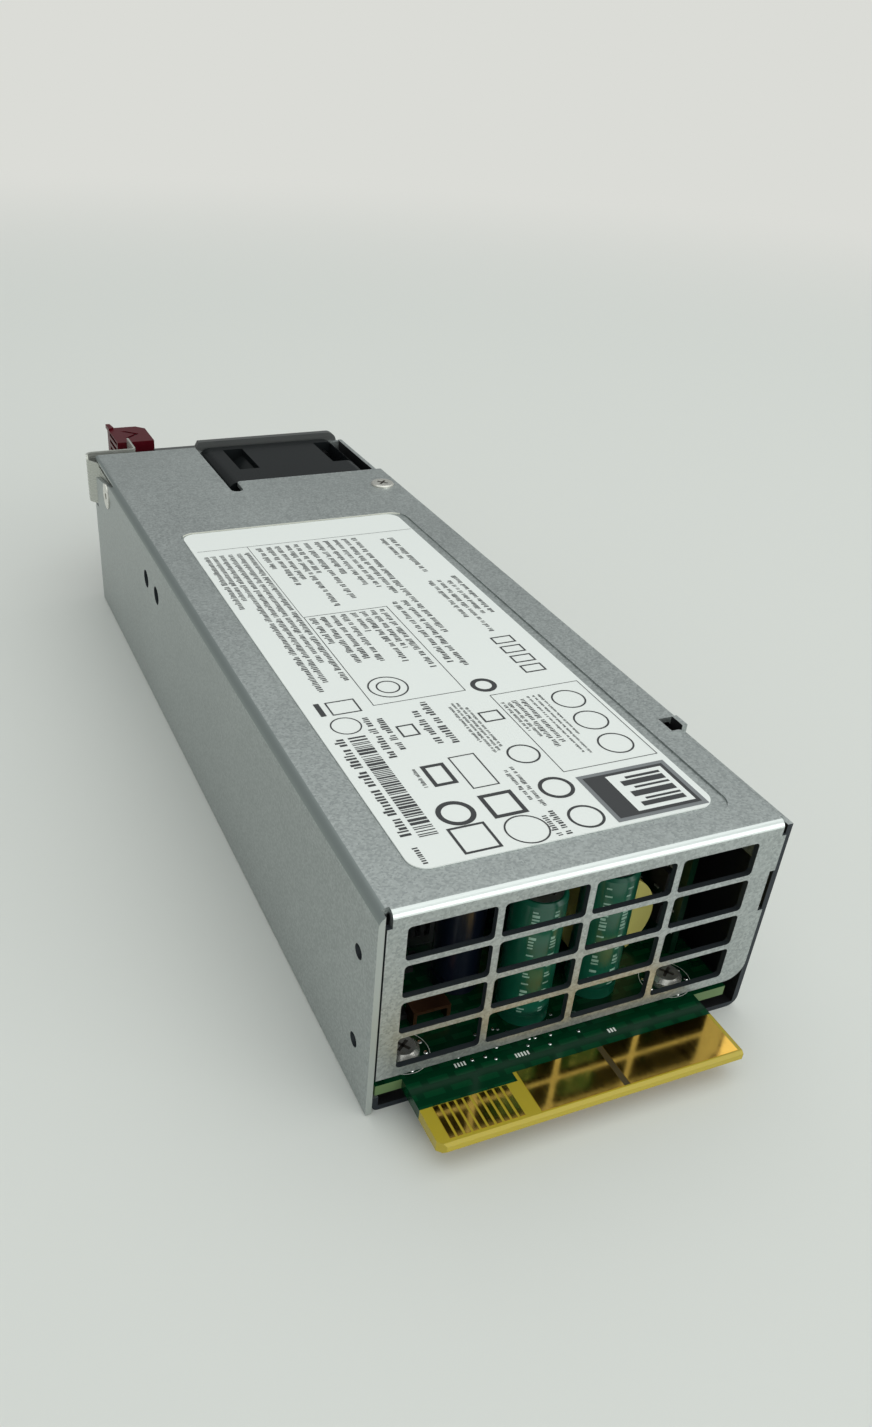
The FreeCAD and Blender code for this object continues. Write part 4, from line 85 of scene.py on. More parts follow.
def noise_node(tree, place, scale, detail=2.0, roughness=0.5):
    """Cloudy noise over the piece."""
    node = tree.nodes.new("ShaderNodeTexNoise")
    for name, value in (("Vector", place), ("Scale", scale), ("Detail", detail),
                        ("Roughness", roughness)):
        feed(tree, node.inputs[name], value)
    return node.outputs["Fac"]


def place_on_piece(tree):
    """The place in the piece's own axes, so that a pattern rides with it."""
    return tree.nodes.new("ShaderNodeTexCoord").outputs["Object"]


def new_group(name, inputs, outputs):
    """A shader node group with its sockets, and the two ends to build between."""
    group = bpy.data.node_groups.new(name, "ShaderNodeTree")
    for side, sockets in (("INPUT", inputs), ("OUTPUT", outputs)):
        for socket, kind in sockets:
            group.interface.new_socket(name=socket, in_out=side, socket_type=kind)
    given = group.nodes.new("NodeGroupInput").outputs
    result = group.nodes.new("NodeGroupOutput").inputs
    return group, given, result


def use_group(tree, group, values):
    """The group in one material, with that material's own values."""
    node = tree.nodes.new("ShaderNodeGroup")
    node.node_tree = group
    for name, value in values.items():
        node.inputs[name].default_value = value
    return node.outputs


NUMBER = "NodeSocketFloat"


def zinc_grain_group():
    """Crystal grain and stains of hot dipped zinc: a mask for the colour, roughness, height."""
    group, given, result = new_group(
        "zinc_grain",
        [("Scale", NUMBER), ("Stain Scale", NUMBER), ("Roughness", NUMBER), ("Spread", NUMBER)],
        [("Crystal", NUMBER), ("Roughness", NUMBER), ("Height", NUMBER)])
    place = place_on_piece(group)
    crystals = group.nodes.new("ShaderNodeTexVoronoi")
    feed(group, crystals.inputs["Vector"], place)
    feed(group, crystals.inputs["Scale"], given["Scale"])
    flecks = group.nodes.new("ShaderNodeSeparateColor")
    feed(group, flecks.inputs["Color"], crystals.outputs["Color"])
    fine = noise_node(group, place, given["Scale"], detail=3.0)
    stains = noise_node(group, place, given["Stain Scale"], detail=4.0, roughness=0.55)
    stain_part = math_node(group, "MULTIPLY", stains, 1 - CRYSTAL_SHARE)
    pattern = math_node(group, "MULTIPLY_ADD", flecks.outputs["Red"], CRYSTAL_SHARE, stain_part)
    centred = math_node(group, "SUBTRACT", pattern, 0.5)
    rough = math_node(group, "MULTIPLY_ADD", centred, given["Spread"], given["Roughness"])
    feed(group, result["Crystal"], pattern)
    feed(group, result["Roughness"], rough)
    feed(group, result["Height"], fine)
    return group


def shader_of(material):
    """The material's own shader."""
    return material.node_tree.nodes["Principled BSDF"]


def new_material(name, colour, roughness, metallic=0.0):
    """An even material with its own shader, ready for more."""
    material = bpy.data.materials.new(name)
    material.use_nodes = True
    shader = shader_of(material)
    shader.inputs["Base Color"].default_value = colour
    shader.inputs["Roughness"].default_value = roughness
    shader.inputs["Metallic"].default_value = metallic
    return material


def add_bump(tree, shader, height, strength, depth):
    """Feeds a height into the shader's normal."""
    bump = tree.nodes.new("ShaderNodeBump")
    bump.inputs["Strength"].default_value = strength
    bump.inputs["Distance"].default_value = depth
    feed(tree, bump.inputs["Height"], height)
    feed(tree, shader.inputs["Normal"], bump.outputs["Normal"])


def galvanised_material():
    """Light and dark crystals side by side, with a faint relief."""
    material = new_material("galvanised", ZINC_LIGHT, ZINC_ROUGHNESS, ZINC_METALLIC)
    shader = shader_of(material)
    tree = material.node_tree
    grain = use_group(tree, zinc_grain_group(), {
        "Scale": GRAIN_SCALE, "Stain Scale": STAIN_SCALE,
        "Roughness": ZINC_ROUGHNESS, "Spread": ROUGHNESS_SPREAD})
    ramp = tree.nodes.new("ShaderNodeValToRGB")
    for stop, position, colour in zip(ramp.color_ramp.elements, CRYSTAL_RANGE,
                                      (ZINC_DARK, ZINC_LIGHT)):
        stop.position = position
        stop.color = colour
    feed(tree, ramp.inputs["Fac"], grain["Crystal"])
    feed(tree, shader.inputs["Base Color"], ramp.outputs["Color"])
    feed(tree, shader.inputs["Roughness"], grain["Roughness"])
    add_bump(tree, shader, grain["Height"], GRAIN_STRENGTH, GRAIN_DEPTH)
    return material


def dress(names, material):
    """Gives CAD nodes one material."""
    for name in names:
        mesh = NODES[name].data
        mesh.materials.clear()
        mesh.materials.append(material)


dress(["top_cover", "bottom_tray"], galvanised_material())

# the sheet's edges: painted highlights on the end of the long wall and along the bend over the
# face; painted shade along the bend to the long wall, inside the punched holes (which are also
# dull), on the tray's front end and over the whole inside of the tray's floor and right wall
WALL_END_HIGHLIGHT = new_material("zinc_wall_end_painted_highlight", srgb(172, 178, 174), roughness=0.32, metallic=0.6)
FACE_BEND_HIGHLIGHT = new_material("zinc_face_bend_painted_highlight", srgb(222, 228, 225), roughness=0.30, metallic=0.55)
LONG_BEND_SHADE = new_material("zinc_long_bend_painted_shade", srgb(138, 146, 144), roughness=0.42, metallic=0.6)
HOLE_SHADE = new_material("zinc_hole_painted_shade", srgb(44, 50, 54), roughness=0.55, metallic=0.3)
TRAY_END_SHADE = new_material("zinc_tray_end_painted_shade", srgb(26, 34, 42), roughness=0.4, metallic=0.4)
TRAY_INSIDE_SHADE = new_material("tray_inside_painted_shade", srgb(18, 19, 20), roughness=0.5)
SQUARE = 0.9                    # a normal this long on an axis counts as square to it
BEND_REACH = 0.0030             # the bends end within this of the cover's corners
AIR_HOLES_ACROSS = 0.0335       # the air holes lie within this of the middle
AIR_HOLES_TOP = 0.0370          # and below this
SIDE_HOLES_UP = (0.0080, 0.0345)
SIDE_HOLES_FRONT = 0.0080       # the front pair lies within this of the face
SIDE_HOLES_REAR = (-0.045, -0.020)
shell_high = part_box("top_cover")[1]
tray_low, tray_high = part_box("bottom_tray")


def wall_end(centre, normal):
    """The end of the long wall, beside the grille face, which gets a painted highlight."""
    return (normal.y > SQUARE and centre.x > shell_high.x - SHEET
            and centre.z < shell_high.z - SHEET)


def face_bend(centre, normal):
    """The bend from the top plate to the grille face, which gets a painted highlight."""
    return (0.15 < normal.y < 0.98 and normal.z > 0.15
            and centre.y > shell_high.y - BEND_REACH)


def long_bend(centre, normal):
    """The bend from the top plate to the long wall, which gets painted shade."""
    return (0.3 < normal.x < 0.95 and normal.z > 0.3 and normal.y < 0.1
            and centre.x > shell_high.x - BEND_REACH)


def punched_edge(centre, normal):
    """Walls of the air holes and of the round holes in the long side, which get painted shade."""
    air = (centre.y > shell_high.y - SHEET * 1.02 and abs(normal.y) < 0.2
           and abs(centre.x) < AIR_HOLES_ACROSS and centre.z < AIR_HOLES_TOP)
    in_wall = shell_high.x - SHEET < centre.x < shell_high.x and abs(normal.x) < 0.2
    front_pair = shell_high.y - SIDE_HOLES_FRONT < centre.y < shell_high.y - SHEET
    rear_pair = SIDE_HOLES_REAR[0] < centre.y < SIDE_HOLES_REAR[1]
    side = (in_wall and SIDE_HOLES_UP[0] < centre.z < SIDE_HOLES_UP[1]
            and (front_pair or rear_pair))
    return air or side


def tray_end(centre, normal):
    """The front end of the tray's floor and wall, which gets painted shade."""
    return normal.y > SQUARE and centre.y > tray_high.y - SHEET


def tray_inside_shade(centre, normal):
    """The inside of the tray's floor and right wall, painted black as shade."""
    return ((normal.x > SQUARE and centre.x < tray_low.x + 2 * SHEET)
            or (normal.z > SQUARE and centre.z < tray_low.z + 2 * SHEET))


def mark_faces(name, material, test):
    """Gives those faces of a CAD node that pass a test a further material."""
    mesh = NODES[name].data
    mesh.materials.append(material)
    slot = len(mesh.materials) - 1
    for face in mesh.polygons:
        if test(face.center, face.normal):
            face.material_index = slot


# painted highlights and painted shade on the sheet's edges, bends and holes, and on the tray
mark_faces("top_cover", WALL_END_HIGHLIGHT, wall_end)
mark_faces("top_cover", FACE_BEND_HIGHLIGHT, face_bend)
mark_faces("top_cover", LONG_BEND_SHADE, long_bend)
mark_faces("top_cover", HOLE_SHADE, punched_edge)
mark_faces("bottom_tray", TRAY_END_SHADE, tray_end)
mark_faces("bottom_tray", TRAY_INSIDE_SHADE, tray_inside_shade)


# ---- Rating label ------------------------------------------------------------------------------
# A white printed film stuck in the pressed recess of the top plate.  Its print is a plain layout
# of strokes, rules, boxes, rings and bars in thin layers: no letters and no marks.

LABEL_WHITE = srgb(236, 240, 236)
LABEL_WAVES = 60.0              # the film lies slightly uneven
MILLIMETRE = 0.001
PRINT_LAYER = 0.00003           # each layer of print lies this much over the one below
RING_SIDES = 40
label_low, label_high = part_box("rating_label")


def waves_group():
    """Even relief over a surface, for film and for moulded texture."""
    group, given, result = new_group("fine_waves", [("Scale", NUMBER)], [("Height", NUMBER)])
    feed(group, result["Height"], noise_node(group, place_on_piece(group), given["Scale"]))
    return group


FINE_WAVES = waves_group()


def film_material():
    """Printed film, a little wavy."""
    material = new_material("label_film", LABEL_WHITE, roughness=0.36)
    shader = shader_of(material)
    tree = material.node_tree
    waves = use_group(tree, FINE_WAVES, {"Scale": LABEL_WAVES})
    add_bump(tree, shader, waves["Height"], strength=0.12, depth=0.0001)
    return material


def recess_edge(centre, normal):
    """The rear wall of the recess, which gets a painted highlight behind the label."""
    return (normal.y > 0.7 and centre.z > label_low.z - SHEET / 5
            and abs(centre.y - label_low.y) < 3 * SHEET)


dress(["rating_label"], film_material())
# painted highlight on the rear wall of the label's recess
RECESS_EDGE_HIGHLIGHT = new_material("zinc_recess_painted_highlight", srgb(236, 236, 224), roughness=0.35, metallic=0.2)
mark_faces("top_cover", RECESS_EDGE_HIGHLIGHT, recess_edge)
INK = new_material("label_ink", srgb(44, 46, 48), roughness=0.42)
GREY_INK = new_material("label_grey_ink", srgb(120, 124, 126), roughness=0.45)
WHITE_INK = new_material("label_white_ink", LABEL_WHITE, roughness=0.4)


def flat_box(mesh, x, y, z):
    """A thin printed rectangle."""
    mesh.faces.new([mesh.verts.new(place) for place in (
        (x[0], y[0], z), (x[1], y[0], z), (x[1], y[1], z), (x[0], y[1], z))])


def flat_ring(mesh, x, y, z, radius, width, sides):
    """A thin printed ring."""
    inner, outer = [], []
    for k in range(sides):
        angle = 2 * math.pi * k / sides
        for ring, reach in ((inner, radius - width), (outer, radius)):
            ring.append(mesh.verts.new((x + math.cos(angle) * reach,
                                        y + math.sin(angle) * reach, z)))
    for k in range(sides):
        after = (k + 1) % sides
        mesh.faces.new([inner[k], outer[k], outer[after], inner[after]])


def patch(mesh, across, along, layer=1):
    """A rectangle on the label, in millimetres."""
    flat_box(mesh, [value * MILLIMETRE for value in across],
             [value * MILLIMETRE for value in along], label_high.z + layer * PRINT_LAYER)


def outline_box(mesh, across, along, line):
    """The outline of a box on the label."""
    patch(mesh, across, (along[0], along[0] + line))
    patch(mesh, across, (along[1] - line, along[1]))
    for side in ((across[0], across[0] + line), (across[1] - line, across[1])):
        patch(mesh, side, (along[0] + line, along[1] - line))


def label_ring(mesh, across, along, radius, line):
    """A ring on the label."""
    flat_ring(mesh, across * MILLIMETRE, along * MILLIMETRE, label_high.z + PRINT_LAYER,
              radius * MILLIMETRE, line * MILLIMETRE, RING_SIDES)


# rows of short strokes along the case stand in for small print: across, first, last and height
# in millimetres
SMALL_PRINT = [
    (-23.6, -1.0, 17.6, 1.1), (-21.6, 1.0, 17.4, 1.1), (-19.6, 0.2, 25.0, 1.1),
    (-17.6, 0.0, 18.6, 1.1), (-19.0, -23.8, -4.6, 1.4), (-16.8, -23.8, -12.0, 1.3),
    (-10.8, -26.0, 22.6, 1.3), (-8.6, -26.0, 3.6, 1.3), (-8.6, 7.2, 36.0, 1.3),
    (-6.4, -26.0, 0.0, 1.3), (-6.4, 7.2, 34.2, 1.3), (-4.2, -26.0, -1.6, 1.3),
    (-2.0, -26.0, -8.0, 1.3), (0.6, -26.0, 3.4, 1.4), (3.0, -26.0, -10.0, 1.3),
    (5.0, -26.0, 6.0, 1.3), (7.2, -26.0, -7.4, 1.3), (9.2, -26.0, -5.4, 1.3),
    (11.4, -26.0, -14.4, 1.3), (-2.6, 9.6, 35.2, 1.3), (-0.6, 9.6, 26.4, 1.3),
    (1.4, 9.6, 31.6, 1.3), (3.4, 9.6, 18.4, 1.3), (5.6, 9.6, 30.0, 1.3),
    (7.8, 9.6, 28.6, 1.3), (9.9, 9.6, 29.4, 1.3), (11.9, 9.6, 21.0, 1.3),
    (-15.6, 49.4, 63.4, 0.5), (-14.5, 49.4, 69.0, 0.5), (-13.4, 49.4, 68.4, 0.5),
    (-9.2, 50.4, 62.0, 0.7),
    (-8.2, 50.0, 60.0, 0.7), (-1.3, 49.6, 62.8, 0.6), (-0.4, 47.8, 63.8, 0.6),
    (0.5, 47.6, 64.2, 0.6), (1.4, 48.6, 60.6, 0.6), (4.9, 45.6, 60.4, 1.5),
    (7.5, 48.0, 59.2, 1.5), (14.2, 48.4, 58.6, 1.4), (16.5, 47.4, 60.6, 1.4),
    (0.1, 81.2, 87.8, 1.2), (1.7, 82.0, 87.2, 1.1), (0.2, 68.6, 80.0, 0.8),
    (1.5, 69.2, 78.0, 0.8), (15.4, 64.4, 70.0, 0.7),
]
CLOSE_PRINT = [
    (14.6, -24.4, 34.6, 1.25), (16.5, -24.4, 27.0, 1.25), (18.4, -24.4, 34.8, 1.25),
    (20.3, -24.4, 37.4, 1.25), (22.1, -24.4, -1.6, 1.25), (23.7, -24.4, 2.4, 1.25),
    (-12.1, 50.0, 65.0, 1.0), (-10.6, 50.0, 65.6, 1.0),
]
BY_STRIPES = [(22.9, 52.6, 81.0, 1.8), (23.4, 83.0, 87.2, 1.1)]
# sizes as shares of the row's height
STROKE_WIDTH = (0.17, 0.34)
STROKE_HEIGHTS = (0.70, 0.70, 0.82, 1.0)
GROUP_GAP = 0.42


def print_row(mesh, row, seed, group, gap):
    """Strokes in groups of so many, with a gap between strokes."""
    across, start, last, height = row
    chance = random.Random(seed)
    while start < last:
        for _ in range(chance.randint(*group)):
            width = height * chance.uniform(*STROKE_WIDTH)
            tall = height * chance.choice(STROKE_HEIGHTS)
            if start + width < last:
                patch(mesh, (across, across + tall), (start, start + width))
            start += width + height * chance.uniform(*gap)
        start += height * GROUP_GAP


ink_mesh = bmesh.new()
for rows, first_seed, group, gap in ((SMALL_PRINT, 0, (2, 9), (0.14, 0.26)),
                                     (CLOSE_PRINT, 60, (12, 30), (0.16, 0.28)),
                                     (BY_STRIPES, 91, (2, 9), (0.14, 0.26))):
    for seed, row in enumerate(rows, start=first_seed):
        print_row(ink_mesh, row, seed, group, gap)

# rules, boxes and rings in millimetres: across and along, then the radius of a ring, then the
# width of the line
RULES = [((-25.2, 25.2), (-27.6, -27.48)), ((14.0, 14.12), (-27.5, 8.6)),
         ((22.8, 23.8), (40.7, 45.0))]
BOXES = [((-21.6, -17.2), (27.2, 30.0), 0.36), ((-21.6, -17.2), (31.1, 33.9), 0.36),
         ((-21.6, -17.2), (35.0, 37.8), 0.36), ((-21.6, -17.2), (38.9, 41.7), 0.36),
         ((-24.7, -6.9), (47.0, 72.6), 0.15), ((-3.7, 14.0), (8.6, 44.2), 0.15),
         ((4.3, 9.0), (63.0, 72.3), 0.25), ((-5.9, -2.0), (51.8, 55.1), 0.35),
         ((10.0, 13.2), (51.6, 55.2), 0.35), ((3.6, 9.4), (74.2, 80.4), 0.75),
         ((10.3, 14.4), (64.0, 70.0), 0.7), ((11.4, 17.6), (80.4, 86.8), 0.45),
         ((16.4, 21.8), (40.8, 45.2), 0.3)]
RINGS = [(-19.8, 52.4, 3.1, 0.32), (-19.8, 59.9, 3.1, 0.32), (-19.8, 67.6, 3.1, 0.32),
         (9.0, 38.9, 3.7, 0.3), (9.0, 38.9, 2.2, 0.3), (20.9, 48.9, 2.7, 0.26),
         (14.4, 77.2, 3.1, 0.85), (6.1, 84.2, 3.5, 0.28), (-4.0, 84.2, 2.9, 0.45),
         (-3.6, 76.0, 2.9, 0.65), (-3.4, 65.8, 2.8, 0.35), (-7.6, 43.4, 2.4, 0.9)]
for across, along in RULES:
    patch(ink_mesh, across, along)
for across, along, line in BOXES:
    outline_box(ink_mesh, across, along, line)
for across, along, radius, line in RINGS:
    label_ring(ink_mesh, across, along, radius, line)

# a striped block: bars of uneven width
STRIPES_ACROSS = (19.0, 22.1)
STRIPES_ALONG = (52.6, 81.0)
STRIPE_WIDTHS = (0.22, 0.22, 0.44, 0.66)
STRIPE_GAPS = (0.24, 0.24, 0.46)
stripes = random.Random(5)
stripe = STRIPES_ALONG[0]
while stripe < STRIPES_ALONG[1]:
    width = stripes.choice(STRIPE_WIDTHS)
    patch(ink_mesh, STRIPES_ACROSS, (stripe, stripe + width))
    stripe += width + stripes.choice(STRIPE_GAPS)

# a shaded box near the front corner: grey field, black box, white panel with six bars
BARS_ALONG = ((76.9, 77.5), (77.9, 79.2), (79.7, 80.2), (80.8, 82.2), (82.8, 83.3), (83.7, 84.8))
BAR_FOOT = -21.8
BAR_ENDS = (-15.4, -14.0)       # every other bar is longer
grey_mesh = bmesh.new()
white_mesh = bmesh.new()
patch(grey_mesh, (-24.3, -7.9), (74.5, 87.2))
patch(ink_mesh, (-23.5, -8.7), (75.3, 86.4), layer=2)
patch(white_mesh, (-22.8, -12.4), (76.0, 85.7), layer=3)
for number, along in enumerate(BARS_ALONG):
    patch(ink_mesh, (BAR_FOOT, BAR_ENDS[number % 2]), along, layer=4)


def new_piece(name, mesh, material, body="case"):
    """A piece of the scene that rides on a body."""
    data = bpy.data.meshes.new(name)
    mesh.to_mesh(data)
    mesh.free()
    data.materials.append(material)
    piece = bpy.data.objects.new(name, data)
    bpy.context.scene.collection.objects.link(piece)
    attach(piece, body)


new_piece("label_print", ink_mesh, INK)
new_piece("label_shading", grey_mesh, GREY_INK)
new_piece("label_box", white_mesh, WHITE_INK)


# ---- Main board --------------------------------------------------------------------------------
# Glass fibre laminate under green solder mask, screwed down on standoffs.  The mask stops at the
# card edge, where the bare laminate shows yellow round the gold plated pads.

BOARD_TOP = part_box("main_board")[1].z
FACE = shell_high.y                 # outside of the grille face
MASK_END = FACE + 0.0040            # the mask ends here beside the power pads
FINGER_MASK_END = FACE + 0.0057     # and here beside the signal fingers
FINGER_SIDE = 0.0121                # the fingers lie from here to the latch side
MASK_GREEN = srgb(4, 62, 34)
TRACK_GREEN = srgb(2, 48, 26)
LAMINATE = srgb(172, 154, 46)
TRACK_SCALE = 110.0
TRACK_WIDTH = 0.07


def board_material():
    """Green mask with tracks up to the card edge, yellow laminate beyond it."""
    material = new_material("board_laminate", MASK_GREEN, roughness=0.22)
    shader = shader_of(material)
    shader.inputs["Specular IOR Level"].default_value = 0.3
    tree = material.node_tree
    place = place_on_piece(tree)
    axes = tree.nodes.new("ShaderNodeSeparateXYZ")
    feed(tree, axes.inputs["Vector"], place)
    tracks = tree.nodes.new("ShaderNodeTexBrick")
    tracks.offset = 0.37
    for name, value in (("Vector", place), ("Scale", TRACK_SCALE), ("Mortar Size", TRACK_WIDTH),
                        ("Color1", MASK_GREEN), ("Color2", MASK_GREEN),
                        ("Mortar", TRACK_GREEN)):
        feed(tree, tracks.inputs[name], value)
    beside_fingers = math_node(tree, "GREATER_THAN", axes.outputs["X"], FINGER_SIDE)
    mask_end = math_node(tree, "MULTIPLY_ADD", beside_fingers, FINGER_MASK_END - MASK_END,
                         MASK_END)
    bare = math_node(tree, "GREATER_THAN", axes.outputs["Y"], mask_end)
    mixed = tree.nodes.new("ShaderNodeMix")
    mixed.data_type = "RGBA"
    mask_colour, bare_colour = mixed.inputs[6], mixed.inputs[7]
    feed(tree, mixed.inputs["Factor"], bare)
    feed(tree, mask_colour, tracks.outputs["Color"])
    feed(tree, bare_colour, LAMINATE)
    feed(tree, shader.inputs["Base Color"], mixed.outputs[2])
    add_bump(tree, shader, tracks.outputs["Fac"], strength=0.08, depth=0.00004)
    return material


def routed_edge(centre, normal):
    """The board's side walls behind the grille face, where the laminate shows pale."""
    return abs(normal.z) < 0.5 and centre.y < FACE - SHEET / 5


dress(["main_board"], board_material())
BOARD_EDGE = new_material("board_edge", srgb(88, 112, 68), roughness=0.5)
mark_faces("main_board", BOARD_EDGE, routed_edge)

# white print: a ring round each front screw and small tick groups at the card edge
SCREW_X = (0.0264, -0.0221)
SCREW_SETBACKS = (0.0054, 0.0720, 0.1550)       # of the screw rows behind the face
SCREW_RING = 0.0044
RING_LINE = 0.00011
TICK_GROUPS = ((0.0098, 0.0008, 5), (-0.0068, 0.0012, 3), (0.0196, -0.0006, 4))
TICK_PITCH = 0.00052
TICK_WIDTH = 0.00024
TICK_VARIES = 0.00010
TICK_LENGTH = 0.0008
PRINT_HEIGHT = BOARD_TOP + PRINT_LAYER
front_screw_y = FACE - SCREW_SETBACKS[0]
silk = bmesh.new()
for x in SCREW_X:
    flat_ring(silk, x, front_screw_y, PRINT_HEIGHT, SCREW_RING, RING_LINE, sides=36)
marks = random.Random(21)
for x, beyond, count in TICK_GROUPS:
    for number in range(count):
        left = x - number * TICK_PITCH
        flat_box(silk, (left, left + TICK_WIDTH + marks.random() * TICK_VARIES),
                 (FACE + beyond, FACE + beyond + TICK_LENGTH), PRINT_HEIGHT)
SILK = new_material("board_print", srgb(226, 232, 224), roughness=0.5)
new_piece("board_print", silk, SILK)

# solder: a ring of dots round each front screw and vias near the connector face
SOLDER_RING = 0.0037
RING_DOTS = 10
RING_DOT = (0.00038, 0.00018)       # radius, height
VIA = (0.00030, 0.00012)
VIA_COUNT = 26
VIA_ROW = 0.0205                    # the row of vias starts here
VIA_PITCH = 0.00095
VIA_SCATTER = 0.0003
VIA_REACH = (-0.0052, 0.0008)       # along the case, from the face
DOT_SIDES = 10
DOT_LEVELS = ((0.0, 1.0), (0.7, 0.75))      # share of the height, share of the radius


def solder_dot(mesh, x, y, radius, height):
    """A small domed dot on the board."""
    rings = []
    for level, share in DOT_LEVELS:
        rings.append([])
        for k in range(DOT_SIDES):
            angle = 2 * math.pi * k / DOT_SIDES
            rings[-1].append(mesh.verts.new((x + math.cos(angle) * radius * share,
                                             y + math.sin(angle) * radius * share,
                                             BOARD_TOP + height * level)))
    top = mesh.verts.new((x, y, BOARD_TOP + height))
    foot, shoulder = rings
    for k in range(DOT_SIDES):
        after = (k + 1) % DOT_SIDES
        mesh.faces.new([foot[k], foot[after], shoulder[after], shoulder[k]])
        mesh.faces.new([shoulder[k], shoulder[after], top])


solder = bmesh.new()
for x in SCREW_X:
    for k in range(RING_DOTS):
        angle = 2 * math.pi * (k + 0.5) / RING_DOTS
        solder_dot(solder, x + math.cos(angle) * SOLDER_RING,
                   front_screw_y + math.sin(angle) * SOLDER_RING, *RING_DOT)
places = random.Random(11)
for number in range(VIA_COUNT):
    x = VIA_ROW - number * VIA_PITCH + places.uniform(-VIA_SCATTER, VIA_SCATTER)
    solder_dot(solder, x, FACE + places.uniform(*VIA_REACH), *VIA)
SOLDER = new_material("solder", srgb(206, 208, 206), roughness=0.22, metallic=1.0)
new_piece("board_solder", solder, SOLDER)

# small black chips and tan ceramic parts round the foot of the right filter can
PART_COUNT = 34
PARTS_ACROSS = (0.0090, 0.0290)
PARTS_BEHIND = (0.0130, 0.0260)     # behind the face
PART_SIZES = ((0.0016, 0.0008), (0.0010, 0.0005), (0.0030, 0.0026))
SMALL_CHIP_SHARE = 0.4              # of the small parts
CHIP_WIDTH = 0.0020                 # wider parts are chips, and they stand taller
CHIP_HEIGHT = 0.0010
CERAMIC_HEIGHT = 0.0005
CAN_FOOT = (0.0116, FACE - 0.0176)
CAN_CLEARANCE = (0.0065, 0.0060)


def solid_box(mesh, x, y, z):
    """A block between two planes along each axis."""
    made = bmesh.ops.create_cube(mesh, size=1.0)["verts"]
    middle = Vector(((x[0] + x[1]) / 2, (y[0] + y[1]) / 2, (z[0] + z[1]) / 2))
    for vert in made:
        vert.co = Vector((vert.co.x * (x[1] - x[0]), vert.co.y * (y[1] - y[0]),
                          vert.co.z * (z[1] - z[0]))) + middle


chips = bmesh.new()
ceramics = bmesh.new()
small_parts = random.Random(3)
for _ in range(PART_COUNT):
    x = small_parts.uniform(*PARTS_ACROSS)
    y = FACE - small_parts.uniform(*PARTS_BEHIND)
    wide, deep = small_parts.choice(PART_SIZES)
    if abs(x - CAN_FOOT[0]) < CAN_CLEARANCE[0] and abs(y - CAN_FOOT[1]) < CAN_CLEARANCE[1]:
        continue
    big = wide > CHIP_WIDTH
    mesh = chips if big or small_parts.random() < SMALL_CHIP_SHARE else ceramics
    solid_box(mesh, (x, x + wide), (y, y + deep),
              (BOARD_TOP, BOARD_TOP + (CHIP_HEIGHT if big else CERAMIC_HEIGHT)))
CHIP = new_material("chip_black", srgb(34, 35, 36), roughness=0.42)
CERAMIC = new_material("chip_ceramic", srgb(150, 122, 88), roughness=0.5)
new_piece("board_chips", chips, CHIP)
new_piece("board_ceramics", ceramics, CERAMIC)


# ---- Gold contacts -----------------------------------------------------------------------------
# Hard gold plated over nickel on both faces of the card edge: mirror bright, with fine rub marks
# from being pushed in and pulled out.  A dark olive patch fills the slot between the two power
# pads.

PAD_SLOT = (-0.00388, -0.00282)
VECTOR = "NodeSocketVector"


def fine_lines_group():
    """Fine rubbed or rolled lines: a roughness that varies between two values across them."""
    group, given, result = new_group(
        "fine_lines",
        [("Stretch", VECTOR), ("Detail", NUMBER), ("Low", NUMBER), ("High", NUMBER)],
        [("Roughness", NUMBER)])
    stretch = group.nodes.new("ShaderNodeMapping")
    feed(group, stretch.inputs["Vector"], place_on_piece(group))
    feed(group, stretch.inputs["Scale"], given["Stretch"])
    lines = noise_node(group, stretch.outputs["Vector"], 1.0, detail=given["Detail"])
    span = group.nodes.new("ShaderNodeMapRange")
    feed(group, span.inputs["Value"], lines)
    feed(group, span.inputs["To Min"], given["Low"])
    feed(group, span.inputs["To Max"], given["High"])
    feed(group, result["Roughness"], span.outputs["Result"])
    return group


FINE_LINES = fine_lines_group()


def lined_metal(name, colour, roughness, metallic, lines):
    """A metal whose roughness follows fine lines."""
    material = new_material(name, colour, roughness, metallic)
    tree = material.node_tree
    feed(tree, shader_of(material).inputs["Roughness"],
         use_group(tree, FINE_LINES, lines)["Roughness"])
    return material


dress(["power_contacts", "signal_contacts"],
      lined_metal("gold_plating", srgb(232, 186, 88), roughness=0.10, metallic=1.0, lines={
          "Stretch": (2600.0, 60.0, 60.0), "Detail": 3.0, "Low": 0.05, "High": 0.17}))
pads_low, pads_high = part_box("power_contacts")
slot_mesh = bmesh.new()
flat_box(slot_mesh, PAD_SLOT, (pads_low.y, pads_high.y), PRINT_HEIGHT)
# a dark olive patch over the slot between the power pads
SLOT_PATCH = new_material("slot_patch", srgb(66, 54, 22), roughness=0.4)
new_piece("pad_slot_patch", slot_mesh, SLOT_PATCH)


# ---- Screws, standoffs and rivet ---------------------------------------------------------------
# Bright zinc plated steel.  The screws hold the board, the cover and the handle; the rivet holds
# the latch strip.  The cross in a screw's head is two dark strips laid on it: painted shade for
# the hollow of the recess.

